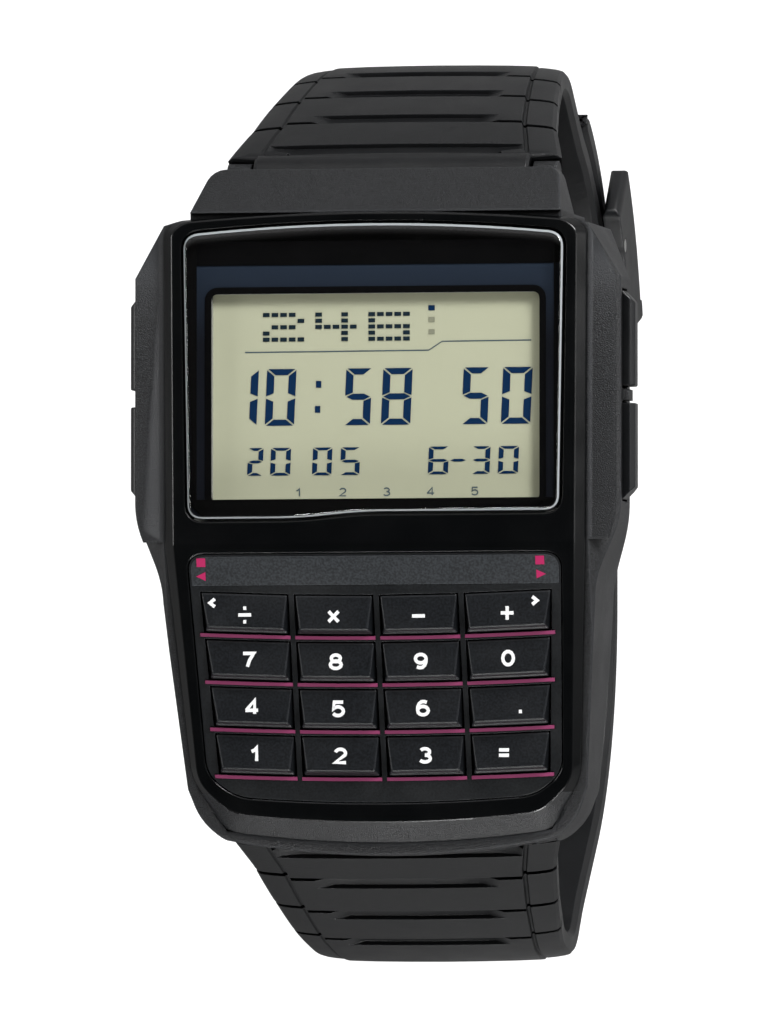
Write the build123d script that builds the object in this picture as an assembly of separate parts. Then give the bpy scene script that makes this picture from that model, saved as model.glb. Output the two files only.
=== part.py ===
from build123d import *
import os
from math import acos, cos, degrees, radians, sin, tan

os.makedirs("parts", exist_ok=True)

# A digital calculator watch with its strap buckled into a loop. Sizes are in millimetres.
# +Z points out of the dial, +Y towards 12 o'clock and +X towards 3 o'clock. Every piece is
# drawn with the top of the crystal at height zero, and is lifted at the end, so that the
# strap's lowest face lies at height zero and the dial's centre is above the origin.

# Clearances
fit_gap = 0.15
running_gap = 0.05
soft_gap = 0.3
overrun = 6.0

# Heights of the case, measured down from the top of the crystal
bezel_sink = 0.3
bezel_thickness = 1.0
case_depth = 12.4
back_thickness = 0.8
shell_bottom = case_depth - back_thickness
shoulder_drop = 1.9
side_wall_height = 4.0
undercut_width = 2.65

# Plan of the case
keypad_slope = 15.75
fold_y = -0.9
wing_half = 18.05
wing_top_y = 18.9
wing_low_y = 2.3
shoulder_half = 15.9
shoulder_top_y = 22.8
case_top_y = 23.7
case_top_bow = 0.6
case_top_half = 14.9
waist_half = 16.2
waist_y = -5.1
heel_half = 15.0
heel_y = -18.7
ankle_half = 14.2
ankle_y = -20.9
toe_half = 12.6
toe_y = -22.4
toe_bow = 1.2
cavity_half = 13.9
cavity_top_y = 21.7
cavity_low_y = -18.2
cavity_corner = 5.0
boss_height = 2.6
cover_low_depth = 5.8
cover_edge_y = 27.2
cover_half = 13.0
cover_root_half = 13.9
cover_root_depth = 1.0
cover_thickness = 1.3

# Strap lugs and their spring bars
upper_bar_y = 26.6
upper_bar_depth = 9.2
lower_bar_y = -21.0
lower_bar_depth = 10.2
lug_radius = 1.2
lug_web = 3.2
lug_inner_half = 10.6
lug_outer_half = 12.4
bar_radius = 0.75
bar_tip_radius = 0.45
bar_tip_length = 1.3
knuckle_radius = 1.8

# Bezel frame, in plan on the flat part and along the slope on the keypad part
band_half_top = 15.15
band_half_fold = 15.0
band_half_low = 14.03
bevel_width = 0.75
low_bevel_width = 0.57
bevel_drop = 0.7
skirt_drop = 1.64
band_low_y = -18.1
band_toe_half = 11.6
band_toe_y = -20.4
band_end_y = -21.1
skirt_end_y = -24.05
skirt_toe_half = 12.3
skirt_toe_y = -23.0
band_corner_y = 22.3
band_corner_half = 14.2
band_top_y = 23.0
band_top_bow = 0.6

# Crystal and display
crystal_half_top = 14.3
crystal_half_low = 13.95
crystal_top_y = 22.1
crystal_bow = 0.75
crystal_low_y = 1.0
crystal_step = 0.46
crystal_step_start = -5.7
crystal_step_end = -0.8
crystal_corner = 1.2
crystal_thickness = 1.1
crystal_edge = 0.35
gasket_thickness = 0.2
gasket_width = 0.5
window_half = 12.3
window_top_y = 17.7
window_low_y = 2.27
window_corner = 1.0
display_depth = 1.9
display_margin = 0.9
display_thickness = 1.1
light_thickness = 0.5
holder_low_y = 0.2
connector_width = 1.4
board_depth = 5.4
board_thickness = 0.8
chip_size = 6.0
chip_height = 1.0

# Keypad panel and keys, measured along the slope from the fold
panel_half_top = 14.0
panel_half_low = 13.3
panel_top_y = -0.75
panel_side_end = -17.5
panel_toe_half = 11.2
panel_toe_y = -19.15
panel_end_y = -19.65
panel_corner = 1.3
panel_thickness = 0.9
panel_sink = 0.1
key_rows = 4
key_columns = 4
first_key_y = -3.62
key_pitch = 3.58
key_length = 2.93
key_rise = 0.8
key_front_length = 0.68
key_draft_width = 0.42
key_inner_start = 0.3
key_inner_width = 5.77
key_column_gap = 0.59
key_outer_top = 13.1
key_outer_step = 0.055
row_bow = 0.35
key_gap = 0.1
key_flange = 0.17
flange_height = 0.5
key_travel = 0.4
plunger_radius = 0.9
plunger_length = 0.55
mat_thickness = 0.8
mat_rim = 3.0
key_board_thickness = 0.5

# Side buttons
button_depth = 3.95
button_height = 1.9
button_reach = 0.9
button_thickness = 1.2
button_travel = 0.8
button_top_y = 17.9
button_length = 7.1
button_gap = 1.25
nub_reach = 0.45
button_bevel = 0.9
button_edge = 0.35
stem_radius = 0.6
stem_head_radius = 1.05
stem_head_height = 0.4
stem_tip = 0.5
head_pocket = 1.6
seal_radius = 1.05
seal_height = 0.6
contact_thickness = 0.15
contact_height = 2.4
contact_length = 3.2

# Module, battery, buzzer and back
module_half = 13.6
module_gap = 0.3
battery_radius = 10.0
battery_height = 2.5
battery_y = 10.6
clip_thickness = 0.25
clip_width = 5.0
clip_length = 19.0
buzzer_radius = 8.5
buzzer_height = 0.3
buzzer_y = -5.5
back_half = 14.2
back_top_y = 21.0
back_low_y = -18.1
back_corner = 4.2
back_bevel = 0.35
seal_ring_width = 0.6
seal_ring_height = 0.5
screw_inset = 1.2
screw_radius = 0.5
screw_length = 2.2
screw_head_radius = 1.0
screw_head_height = 0.4

# Strap: both halves follow straight runs and tangent arcs from their lugs to the buckle
strap_thickness = 2.2
upper_heading = 57.0
upper_bend_radius = 62.0
upper_bend_turn = 15.0
loop_radius = 24.5
upper_turn = 10.4
tuck_radius = 10.0
lower_heading = 118.0
lower_run_length = 6.0
lower_bend_radius = 65.0
lower_bend_turn = 8.7
lower_turn = 19.3
knee_radius = 8.0
knee_turn = 38.0
sole_radius = 24.0
tail_turn = 61.5
buckle_turn = 34.5
strap_halves = (12.6, 11.4, 10.55, 9.7, 9.2)
strap_half_depths = (9.0, 13.5, 19.5, 27.0, 39.0)
link_count = 4
link_pitch = 5.1
upper_first_groove = 0.9
lower_first_groove = 0.6
groove_width = 0.35
groove_depth = 0.45
scoop_width = 1.3
scoop_depth = 0.5
scoop_share = 0.6
shoulder_gap = 2.2
tongue_half_width = 10.35
hole_count = 6
hole_pitch = 5.2
hole_length = 3.7
hole_width = 2.2

# Buckle, placed by its turn about the loop's lower arc from straight down
buckle_bar_radius = 0.5
arm_thickness = 1.3
arm_clearance = 0.4
arm_low_turn = 14.5
arm_high_turn = 44.5
arm_inner_radius = 20.3
arm_outer_radius = 25.4
far_bar_inner_radius = 24.8
far_bar_outer_radius = 26.1
far_bar_high_turn = 18.5
tang_width = 1.7
tang_thickness = 1.0
tang_low_turn = 15.0
tang_rise_turn = 29.3
tang_root_turn = 31.9
tang_seat_radius = 25.35
tang_notch_turn = 5.2

slope = radians(keypad_slope)
pad = Plane(origin=(0, fold_y, -bezel_sink), x_dir=(1, 0, 0), z_dir=(0, -sin(slope), cos(slope)))
rim_depth = bezel_sink + bezel_thickness


def bowed(side, end_y):
    """Face whose right side is a list of points, mirrored to the left, with a bowed end."""
    right = [(x, y) for x, y in side]
    left = [(-x, y) for x, y in reversed(side)]
    return make_face([Polyline(*left, *right), ThreePointArc(right[-1], (0, end_y), left[0])])


def side_prism(points, half_width):
    """Prism along X over an outline of points in Y and height."""
    outline = Polyline(*[(0, y, z) for y, z in points], close=True)
    return extrude(make_face(outline), amount=half_width, dir=(1, 0, 0), both=True)


def pad_point(along, up):
    """Y and height of a point given along and above the keypad's slope."""
    return (fold_y + along * cos(slope) - up * sin(slope),
            -bezel_sink + along * sin(slope) + up * cos(slope))


def slab(face, top_depth, thickness):
    """Flat plate below a face, with its top at the given depth."""
    return Pos(0, 0, -top_depth) * extrude(face, amount=-thickness)


def rod(radius, start_x, end_x, y, depth):
    """Round bar along X."""
    return Pos(start_x, y, -depth) * extrude(Plane.YZ * Circle(radius), amount=end_x - start_x)


def both_sides(shape):
    """The shape and its mirror image across the dial's centre plane."""
    return shape + mirror(shape, about=Plane.YZ)


# Plan outlines
case_right = [
    ThreePointArc((0, case_top_y), (case_top_half / 2, case_top_y - case_top_bow / 4),
                  (case_top_half, case_top_y - case_top_bow)),
    Polyline((case_top_half, case_top_y - case_top_bow), (shoulder_half, shoulder_top_y),
             (wing_half, wing_top_y), (wing_half, wing_low_y)),
    Spline((wing_half, wing_low_y), (waist_half, waist_y), tangents=[(0, -1), (0, -1)]),
    Polyline((waist_half, waist_y), (heel_half, heel_y), (ankle_half, ankle_y), (toe_half, toe_y)),
    ThreePointArc((toe_half, toe_y), (toe_half / 2, toe_y - toe_bow * 3 / 4), (0, toe_y - toe_bow)),
]
case_edges = [edge for line in case_right for edge in line.edges()]
case_edges += [mirror(edge, about=Plane.YZ) for edge in case_edges]
case_plan = make_face(case_edges)
cover_plan = make_face(Polyline((-cover_root_half, 0), (cover_root_half, 0), (cover_root_half, case_top_y),
                                (cover_half, cover_edge_y), (-cover_half, cover_edge_y),
                                (-cover_root_half, case_top_y), close=True))


def cavity_outline(half, top, low, corner):
    """Rectangle about the dial's axis with its corners cut off."""
    points = [(half, top - corner), (half, low + corner), (half - corner, low)]
    left = [(-x, y) for x, y in reversed(points)]
    return make_face(Polyline(*points, *left, (corner - half, top), (half - corner, top), close=True))


def bezel_blank():
    """The frame with no openings: a flat part and a sloping part that meet at the fold."""
    flat_band = bowed([(band_half_fold, fold_y), (band_half_top, band_corner_y),
                       (band_corner_half, band_top_y)], band_top_y + band_top_bow)
    flat_edge = bowed([(band_half_fold + bevel_width, fold_y),
                       (band_half_top + bevel_width, band_corner_y + fit_gap),
                       (band_corner_half + fit_gap, band_top_y + fit_gap)],
                      band_top_y + band_top_bow + fit_gap)
    flat_base = Pos(0, 0, -rim_depth) * flat_edge
    flat = loft([Pos(0, 0, -bezel_sink) * flat_band, Pos(0, 0, -bezel_sink - bevel_drop) * flat_edge,
                 flat_base], ruled=True)
    band = bowed([(band_half_fold, 0), (band_half_low, band_low_y), (band_toe_half, band_toe_y)], band_end_y)
    middle_y = band_end_y + (skirt_end_y - band_end_y) * bevel_drop / skirt_drop
    middle_toe_y = band_toe_y + (skirt_toe_y - band_toe_y) * bevel_drop / skirt_drop
    low_half = band_half_low + low_bevel_width
    middle = bowed([(band_half_fold + bevel_width, 0), (low_half, band_low_y),
                    (band_toe_half + low_bevel_width, middle_toe_y)], middle_y)
    skirt = bowed([(band_half_fold + bevel_width, 0), (low_half, band_low_y), (skirt_toe_half, skirt_toe_y)],
                  skirt_end_y)
    sloping = loft([pad * band, pad * Pos(0, 0, -bevel_drop) * middle, pad * Pos(0, 0, -skirt_drop) * skirt],
                   ruled=True)
    under = Pos(0, -overrun / 2 + band_toe_y / 2, -bezel_thickness - overrun / 2) * Box(
        wing_half * 2, overrun - band_toe_y, overrun)
    under = pad * Pos(0, overrun, 0) * under
    return flat + (sloping - under)


def crystal_outline(grow):
    """Plan of the crystal, wider by grow all round: bowed top, small step in its lower edge."""
    top = crystal_top_y + grow
    low = crystal_low_y - grow
    wide = crystal_half_top + grow
    narrow = crystal_half_low + grow
    step_start = (crystal_step_start, low)
    step_end = (crystal_step_end, low + crystal_step)
    lines = [
        Polyline((-wide, top - crystal_corner), (-narrow, low + crystal_corner),
                 (-narrow + crystal_corner, low), step_start),
        Spline(step_start, step_end, tangents=[(1, 0), (1, 0)]),
        Polyline(step_end, (narrow - crystal_corner, low + crystal_step),
                 (narrow, low + crystal_step + crystal_corner), (wide, top - crystal_corner),
                 (wide - crystal_corner, top)),
        ThreePointArc((wide - crystal_corner, top), (0, top + crystal_bow), (crystal_corner - wide, top)),
        Polyline((crystal_corner - wide, top), (-wide, top - crystal_corner)),
    ]
    return make_face([edge for line in lines for edge in line.edges()])


def panel_outline(grow):
    """Plan of the keypad panel in its own slope, wider by grow all round."""
    return bowed([(panel_half_top - panel_corner + grow, panel_top_y + grow),
                  (panel_half_top + grow, panel_top_y - panel_corner + grow),
                  (panel_half_low + grow, panel_side_end),
                  (panel_toe_half + grow, panel_toe_y - grow)], panel_end_y - grow)


def front_bezel():
    """Frame over the case rim, with the crossbar between the display and the keypad."""
    frame = bezel_blank()
    frame -= slab(crystal_outline(fit_gap), 0, overrun)
    hole = pad * Pos(0, 0, -overrun / 2) * extrude(panel_outline(fit_gap), amount=overrun)
    return frame - hole


def case_body():
    """Moulded shell: side shoulders, cover over the upper strap end, lugs, and the module's space."""
    body = extrude(case_plan + cover_plan, amount=-shell_bottom)
    top = side_prism([(cover_edge_y + overrun, overrun), (cover_edge_y + overrun, -cover_low_depth),
                      (cover_edge_y, -cover_low_depth), (case_top_y, -cover_root_depth),
                      (case_top_y, -rim_depth), pad_point(0, -bezel_thickness),
                      pad_point(skirt_end_y * 2, -bezel_thickness), (skirt_end_y * 2, overrun)],
                     wing_half * 2)
    body -= top
    wing_slope = shoulder_drop / (wing_half - shoulder_half)
    outer = wing_half + overrun
    outer_drop = (outer - shoulder_half) * wing_slope
    wedge = make_face(Polyline((shoulder_half, 0), (outer, 0), (outer, -outer_drop), close=True))
    wedge = Plane.XZ * wedge
    flat_wedge = Pos(0, fold_y, -rim_depth) * extrude(wedge, amount=case_top_y * 2, dir=(0, 1, 0))
    low_wedge = extrude(wedge, amount=case_top_y * 2, dir=(0, -1, 0))
    low_wedge = pad * Pos(0, 0, -bezel_thickness) * low_wedge
    body -= both_sides(flat_wedge)
    body -= both_sides(low_wedge)
    side_low = rim_depth + shoulder_drop + side_wall_height
    chine = make_face(Polyline((wing_half, -side_low), (wing_half + overrun, -side_low),
                               (wing_half + overrun, -case_depth), (wing_half - undercut_width, -case_depth),
                               close=True))
    chine = extrude(Plane.XZ * chine, amount=case_top_y * 2, both=True)
    body -= both_sides(chine)
    end_cut = side_prism([(case_top_y, -cover_low_depth - cover_thickness),
                          (cover_edge_y + overrun, -cover_low_depth - cover_thickness),
                          (cover_edge_y + overrun, -case_depth), (case_top_y, -case_depth)], wing_half * 2)
    body -= end_cut
    for bar_y, bar_depth in ((upper_bar_y, upper_bar_depth), (lower_bar_y, lower_bar_depth)):
        inward = -1 if bar_y > 0 else 1
        web_y = bar_y + inward * lug_web
        web = side_prism([(bar_y, -bar_depth + lug_radius), (web_y, -bar_depth + lug_radius),
                          (web_y, -shell_bottom), (bar_y, -bar_depth - lug_radius)], lug_outer_half)
        lugs = rod(lug_radius, -lug_outer_half, lug_outer_half, bar_y, bar_depth) + web
        body += lugs
        seat = rod(knuckle_radius + soft_gap, -lug_inner_half, lug_inner_half, bar_y, bar_depth)
        outward = -inward
        inner_y = bar_y - outward * (knuckle_radius + soft_gap)
        outer_y = bar_y + outward * overrun
        mouth = side_prism([(inner_y, -bar_depth), (outer_y, -bar_depth), (outer_y, -case_depth),
                            (inner_y, -case_depth)], lug_inner_half)
        body -= seat + mouth
        tip = rod(bar_tip_radius + running_gap, lug_inner_half - fit_gap,
                  lug_inner_half + bar_tip_length + fit_gap, bar_y, bar_depth)
        body -= both_sides(tip)
    body -= bezel_blank()
    upper_room = cavity_outline(cavity_half, cavity_top_y, cavity_low_y, crystal_corner)
    body -= slab(upper_room, 0, shell_bottom - boss_height)
    body -= slab(cavity_outline(cavity_half, cavity_top_y, cavity_low_y, cavity_corner), 0, case_depth)
    panel_seat = pad * Pos(0, 0, -bezel_thickness) * extrude(panel_outline(fit_gap), amount=overrun)
    body -= panel_seat
    body -= slab(crystal_outline(fit_gap), 0, rim_depth)
    ring = seal_outline(fit_gap + seal_ring_width + running_gap) - seal_outline(fit_gap - running_gap)
    body -= slab(ring, shell_bottom - seal_ring_height + running_gap, seal_ring_height)
    for x, y in screw_places():
        body -= Pos(x, y, -shell_bottom) * Cylinder(screw_radius, screw_length * 2 + fit_gap)
    body -= both_sides(button_recess())
    upper, lower = button_centres()
    nub = Pos(wing_half, (upper + lower) / 2, -button_depth - button_height / 2) * Box(
        nub_reach * 2, button_gap - fit_gap * 3, button_height)
    return body + both_sides(nub)


def seal_outline(grow):
    """Outline of the cavity, wider by grow, that the back's sealing ring follows."""
    return cavity_outline(cavity_half + grow, cavity_top_y + grow, cavity_low_y - grow, cavity_corner)


def screw_places():
    """Centres of the four back screws, in the case's corner bosses."""
    x = cavity_half - screw_inset
    top = cavity_top_y - screw_inset
    low = cavity_low_y + screw_inset
    return [(x, top), (-x, top), (x, low), (-x, low)]


def button_centres():
    """Middle of the upper and of the lower button along the case side."""
    upper = button_top_y - button_length / 2
    return [upper, upper - button_length - button_gap]


def button_recess():
    """Right-hand pocket for the buttons, with stem bores, seal grooves and head pockets."""
    upper, lower = button_centres()
    middle = -button_depth - button_height / 2
    inner = wing_half + button_reach - button_thickness - button_travel - fit_gap
    recess = None
    for y in (upper, lower):
        pocket = Pos(inner + overrun / 2, y, middle) * Box(
            overrun, button_length + fit_gap * 2, button_height + fit_gap * 2)
        bore = rod(stem_radius + running_gap, cavity_half - fit_gap, inner + fit_gap, y, -middle)
        pocket_end = cavity_half + head_pocket
        head_room = rod(stem_head_radius + fit_gap, cavity_half - fit_gap, pocket_end, y, -middle)
        groove = rod(seal_radius + running_gap, seal_x() - running_gap, seal_x() + seal_height + running_gap,
                     y, -middle)
        cut = pocket + bore + head_room + groove
        recess = cut if recess is None else recess + cut
    return recess


def seal_x():
    """Inner end of the stem seals."""
    return cavity_half + head_pocket + fit_gap * 2


def side_button(y, outer_end):
    """Bar with one bevelled end, its stem and the retaining head, on the right-hand side."""
    outer = wing_half + button_reach
    inner = outer - button_thickness
    start = y - button_length / 2
    end = y + button_length / 2
    points = [(inner, start), (inner, end)]
    if outer_end > 0:
        points += [(outer - button_bevel, end), (outer, end - button_bevel), (outer, start)]
    else:
        points += [(outer, end), (outer, start + button_bevel), (outer - button_bevel, start)]
    bar = slab(make_face(Polyline(*points, close=True)), button_depth, button_height)
    outer_edges = bar.edges().filter_by(Axis.Y).group_by(Axis.X)[-1]
    bar = chamfer(outer_edges, button_edge)
    middle = button_depth + button_height / 2
    head_end = cavity_half + head_pocket - running_gap
    stem = rod(stem_radius, head_end - stem_head_height - stem_tip, inner + running_gap, y, middle)
    head = rod(stem_head_radius, head_end - stem_head_height, head_end, y, middle)
    return bar + stem + head


def button_seals():
    """Four sealing rings round the button stems."""
    rings = []
    middle = button_depth + button_height / 2
    for y in button_centres():
        ring = rod(seal_radius, seal_x(), seal_x() + seal_height, y, middle)
        ring -= rod(stem_radius + running_gap, seal_x() - fit_gap, seal_x() + overrun, y, middle)
        rings += [ring, mirror(ring, about=Plane.YZ)]
    return Compound(children=[ring.solid() for ring in rings])


def contact_springs():
    """Four leaf springs on the display holder's sides, that the stems press."""
    leaves = []
    middle = button_depth + button_height / 2
    for y in button_centres():
        leaf = Pos(module_half + contact_thickness / 2, y, -middle) * Box(
            contact_thickness, contact_length, contact_height)
        leaves += [leaf, mirror(leaf, about=Plane.YZ)]
    return Compound(children=[leaf.solid() for leaf in leaves])


def crystal():
    """Clear window with softened upper edges."""
    pane = slab(crystal_outline(0), 0, crystal_thickness)
    return chamfer(pane.faces().sort_by(Axis.Z)[-1].edges(), crystal_edge)


def crystal_gasket():
    """Thin sealing frame between the crystal and the case rim."""
    ring = crystal_outline(0)
    inner_low = crystal_low_y + gasket_width * 2
    inner = Pos(0, (crystal_top_y + inner_low) / 2) * Rectangle(
        (cavity_half - gasket_width) * 2, crystal_top_y - inner_low - gasket_width * 2)
    return slab(ring - inner, crystal_thickness, gasket_thickness)


def display_outline(grow):
    """Rectangle of the display window, wider by grow."""
    width = (window_half + grow) * 2
    height = window_top_y - window_low_y + grow * 2
    return Pos(0, (window_top_y + window_low_y) / 2) * Rectangle(width, height)


def module_space():
    """The room inside the case, less a fit gap, with its corners cut off beside the screw bosses."""
    top = cavity_top_y - fit_gap
    low = cavity_low_y + fit_gap
    upper = cavity_outline(module_half, top, low, crystal_corner)
    lower = cavity_outline(module_half, top, low, cavity_corner)
    return slab(upper, 0, shell_bottom - boss_height - fit_gap) + slab(lower, 0, case_depth)


def display_sheet(top_depth, thickness):
    """Plate across the display end of the module space."""
    length = cavity_top_y - holder_low_y
    plan = Pos(0, holder_low_y + length / 2) * Rectangle(wing_half * 2, length)
    return slab(plan, top_depth, thickness) & module_space()


def display_holder():
    """Plastic frame that holds the display, the light panel and the connector strips."""
    top = crystal_thickness + gasket_thickness
    frame = display_sheet(top, board_depth - top)
    frame -= slab(display_outline(0), 0, display_depth + overrun)
    frame -= slab(display_outline(display_margin + running_gap), display_depth, overrun)
    return frame


def connector_strips():
    """Two elastomer strips between the display's edges and the board."""
    strips = []
    top = display_depth + display_thickness
    for y in (window_top_y + display_margin - connector_width / 2,
              window_low_y - display_margin + connector_width / 2):
        strips.append(Pos(0, y, -(top + board_depth) / 2) * Box(
            window_half * 2, connector_width, board_depth - top))
    return Compound(children=[strip.solid() for strip in strips])


def light_panel():
    """Thin panel that lights the display from behind."""
    plan_length = window_top_y - window_low_y + (display_margin - connector_width - fit_gap) * 2
    plan = Pos(0, (window_top_y + window_low_y) / 2) * Rectangle(window_half * 2, plan_length)
    return slab(plan, display_depth + display_thickness, light_thickness)


def circuit_board():
    """Main board behind the display, seated on the module frame."""
    return display_sheet(board_depth, board_thickness)


def chip_package():
    """The watch's processor in its package, above the board and behind the light panel."""
    plan = Pos(0, (window_top_y + window_low_y) / 2) * Rectangle(chip_size, chip_size)
    return slab(plan, board_depth - chip_height, chip_height)


def stack_level(layer):
    """Depth below the keypad slope of the panel's top, flange, mat, key board and module."""
    flange = panel_sink + panel_thickness
    mat = flange + flange_height + plunger_length + key_travel + fit_gap
    levels = {"flange": flange, "mat": mat, "board": mat + mat_thickness,
              "module": mat + mat_thickness + key_board_thickness}
    return levels[layer]


def module_frame():
    """Moulded block that fills the case and holds the boards and the battery."""
    board_low = board_depth + board_thickness
    low_end = cavity_low_y + fit_gap
    slope_low = pad_point((low_end - fold_y) / cos(slope), -stack_level("module"))
    slope_start = pad_point(0, -stack_level("module"))
    block = side_prism([(cavity_top_y - fit_gap, -board_low), (0, -board_low),
                        (slope_start[0], min(slope_start[1], -board_low)), slope_low,
                        (slope_low[0], -shell_bottom + module_gap),
                        (cavity_top_y - fit_gap, -shell_bottom + module_gap)], module_half)
    block = block & module_space()
    battery_room = Pos(0, battery_y, -shell_bottom) * Cylinder(
        battery_radius + fit_gap, (shell_bottom - board_low - clip_thickness) * 2)
    clip_top = board_low + clip_thickness + fit_gap + battery_height
    clip_room = Pos(0, battery_y, -shell_bottom) * Box(
        clip_length + fit_gap * 2, clip_width + fit_gap * 2, (shell_bottom - clip_top + fit_gap) * 2)
    return block - battery_room - clip_room


def battery():
    """Coin cell in the module frame."""
    top = board_depth + board_thickness + clip_thickness + fit_gap
    return Pos(0, battery_y, -top - battery_height / 2) * Cylinder(battery_radius, battery_height)


def battery_clip():
    """Spring plate across the back of the cell."""
    top = board_depth + board_thickness + clip_thickness + fit_gap + battery_height
    return Pos(0, battery_y, -top - clip_thickness / 2) * Box(clip_length, clip_width, clip_thickness)


def buzzer_disc():
    """Thin disc on the inside of the case back."""
    return Pos(0, buzzer_y, -shell_bottom + buzzer_height / 2) * Cylinder(buzzer_radius, buzzer_height)


def key_corners(row, column):
    """Plan corners of a key in the slope: inner and outer x, and the y of its upper edge at each."""
    side = 1 if column >= key_columns / 2 else -1
    rank = column - key_columns // 2 if side > 0 else key_columns // 2 - 1 - column
    near = key_inner_start + rank * (key_inner_width + key_column_gap)
    upper = first_key_y - row * key_pitch
    lower = upper - key_length
    if rank == 0:
        far_upper = far_lower = near + key_inner_width
    else:
        far_upper = key_outer_top - key_outer_step * (first_key_y - upper)
        far_lower = key_outer_top - key_outer_step * (first_key_y - lower)
    return side, near, far_upper, far_lower, upper, lower


def row_sag(x):
    """How far a row dips towards 6 o'clock at x: most at the middle."""
    return -row_bow * (1 - (x / key_outer_top) ** 2)


def key_outline(row, column, grow):
    """Four-sided plan of a key, wider by grow all round."""
    side, near, far_upper, far_lower, upper, lower = key_corners(row, column)
    points = [(near - grow, upper + row_sag(near) + grow),
              (far_upper + grow, upper + row_sag(far_upper) + grow),
              (far_lower + grow, lower + row_sag(far_lower) - grow),
              (near - grow, lower + row_sag(near) - grow)]
    return make_face(Polyline(*[(side * x, y) for x, y in points], close=True))


def key_cap(row, column):
    """Wedge key: flush at its upper edge, raised at its lower edge, with drafted sides."""
    side, near, far_upper, far_lower, upper, lower = key_corners(row, column)
    foot = key_outline(row, column, 0)
    crown_points = [(near + key_gap, upper + row_sag(near)),
                    (far_upper - key_gap, upper + row_sag(far_upper)),
                    (far_lower - key_draft_width, lower + row_sag(far_lower) + key_front_length),
                    (near + key_draft_width, lower + row_sag(near) + key_front_length)]
    crown = make_face(Polyline(*[(side * x, y) for x, y in crown_points], close=True))
    wedge = loft([foot, Pos(0, 0, key_rise) * crown], ruled=True)
    rise_angle = degrees(acos(key_length / (key_length ** 2 + key_rise ** 2) ** 0.5))
    middle_x = side * (near + far_upper) / 2
    above = Pos(0, 0, overrun / 2) * Box(key_outer_top * 2, overrun * 2, overrun)
    wedge -= Pos(middle_x, upper + row_sag(near), 0) * Rot(-rise_angle, 0, 0) * above
    wedge = Pos(0, 0, -panel_sink) * wedge
    stem_height = panel_thickness + running_gap
    stem = Pos(0, 0, -panel_sink - stem_height) * extrude(foot, amount=stem_height)
    flange_face = key_outline(row, column, key_flange)
    flange_low = -stack_level("flange") - running_gap - flange_height
    flange = Pos(0, 0, flange_low) * extrude(flange_face, amount=flange_height)
    centre_y = (upper + lower) / 2 + row_sag(near)
    plunger_z = flange_low - plunger_length / 2
    plunger = Pos(middle_x, centre_y, plunger_z) * Cylinder(plunger_radius, plunger_length)
    return pad * (wedge + stem + flange + plunger)


def key_panel():
    """Sloping printed plate with an opening for each key."""
    plate = Pos(0, 0, -panel_sink - panel_thickness) * extrude(panel_outline(0), amount=panel_thickness)
    for row in range(key_rows):
        for column in range(key_columns):
            opening = key_outline(row, column, key_gap)
            plate -= Pos(0, 0, -overrun / 2) * extrude(opening, amount=overrun)
    return pad * plate


def sloping_span(level):
    """Upper and lower end, along the slope, of the module space at a level below the slope."""
    ends = (holder_low_y - fit_gap, cavity_low_y + fit_gap)
    return [(y - fold_y - level * sin(slope)) / cos(slope) for y in ends]


def sloping_sheet(level, thickness):
    """Sheet parallel to the keypad panel, inside the case."""
    start = sloping_span(level + thickness)[0]
    end = sloping_span(level)[1]
    middle = Pos(0, (start + end) / 2, -level - thickness / 2)
    return pad * middle * Box(wing_half * 2, start - end, thickness) & module_space()


def key_mat():
    """Rubber mat below the keys, with a raised bar under the crossbar that carries the panel's upper end."""
    level = stack_level("flange")
    rim_height = stack_level("mat") - level
    start = sloping_span(level + rim_height)[0] - mat_rim
    length = start - sloping_span(level)[1] + overrun
    room = Pos(0, start - length / 2, -level) * Box(wing_half * 2, length, rim_height * 2)
    under_crossbar = [(fold_y, -rim_depth), (overrun, -rim_depth), (overrun, 0), (fold_y, 0)]
    crossbar_room = side_prism(under_crossbar, wing_half)
    return sloping_sheet(level, rim_height + mat_thickness) - pad * room - crossbar_room


def key_board():
    """Contact board under the mat."""
    return sloping_sheet(stack_level("board"), key_board_thickness)


def case_back():
    """Steel plate with chamfered corners and four screw holes."""
    plan = cavity_outline(back_half, back_top_y, back_low_y, back_corner)
    plate = slab(plan, shell_bottom, back_thickness)
    plate = chamfer(plate.faces().sort_by(Axis.Z)[0].edges(), back_bevel)
    for x, y in screw_places():
        plate -= Pos(x, y, -shell_bottom) * Cylinder(screw_radius + running_gap, back_thickness * 4)
        plate -= Pos(x, y, -case_depth) * Cylinder(screw_head_radius + running_gap, screw_head_height * 2)
    return plate


def back_gasket():
    """Sealing ring in the groove round the module's space."""
    ring = seal_outline(fit_gap + seal_ring_width) - seal_outline(fit_gap)
    return slab(ring, shell_bottom - seal_ring_height + running_gap, seal_ring_height - running_gap)


def back_screws():
    """Four cross-slotted screws."""
    screws = []
    for x, y in screw_places():
        head_z = -case_depth + screw_head_height / 2
        head = Pos(x, y, head_z) * Cylinder(screw_head_radius, screw_head_height)
        shank_top = -shell_bottom + screw_length
        shank = Pos(x, y, (shank_top - case_depth) / 2) * Cylinder(screw_radius, shank_top + case_depth)
        slot = Pos(x, y, -case_depth) * Box(screw_head_radius * 2, screw_radius / 2, screw_head_height)
        screws.append((head + shank - slot).solid())
    return Compound(children=screws)


def ribbon_edges(start, heading, runs, side, inset):
    """Straight runs and tangent arcs of one face of a strap half, inset towards the wrist."""
    direction = Vector(cos(radians(heading)), -sin(radians(heading)))
    inward = Vector(direction.Y, -direction.X) * side
    point = Vector(*start) + inward * inset
    edges = []
    for radius, amount in runs:
        if radius == 0:
            end = point + direction * amount
            edges.append(Line(point, end))
        else:
            arc = JernArc(point, direction, radius - inset, -amount * side)
            edges.append(arc)
            end = arc @ 1
            direction = direction.rotate(Axis.Z, -amount * side)
        point = end
    return edges


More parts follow.
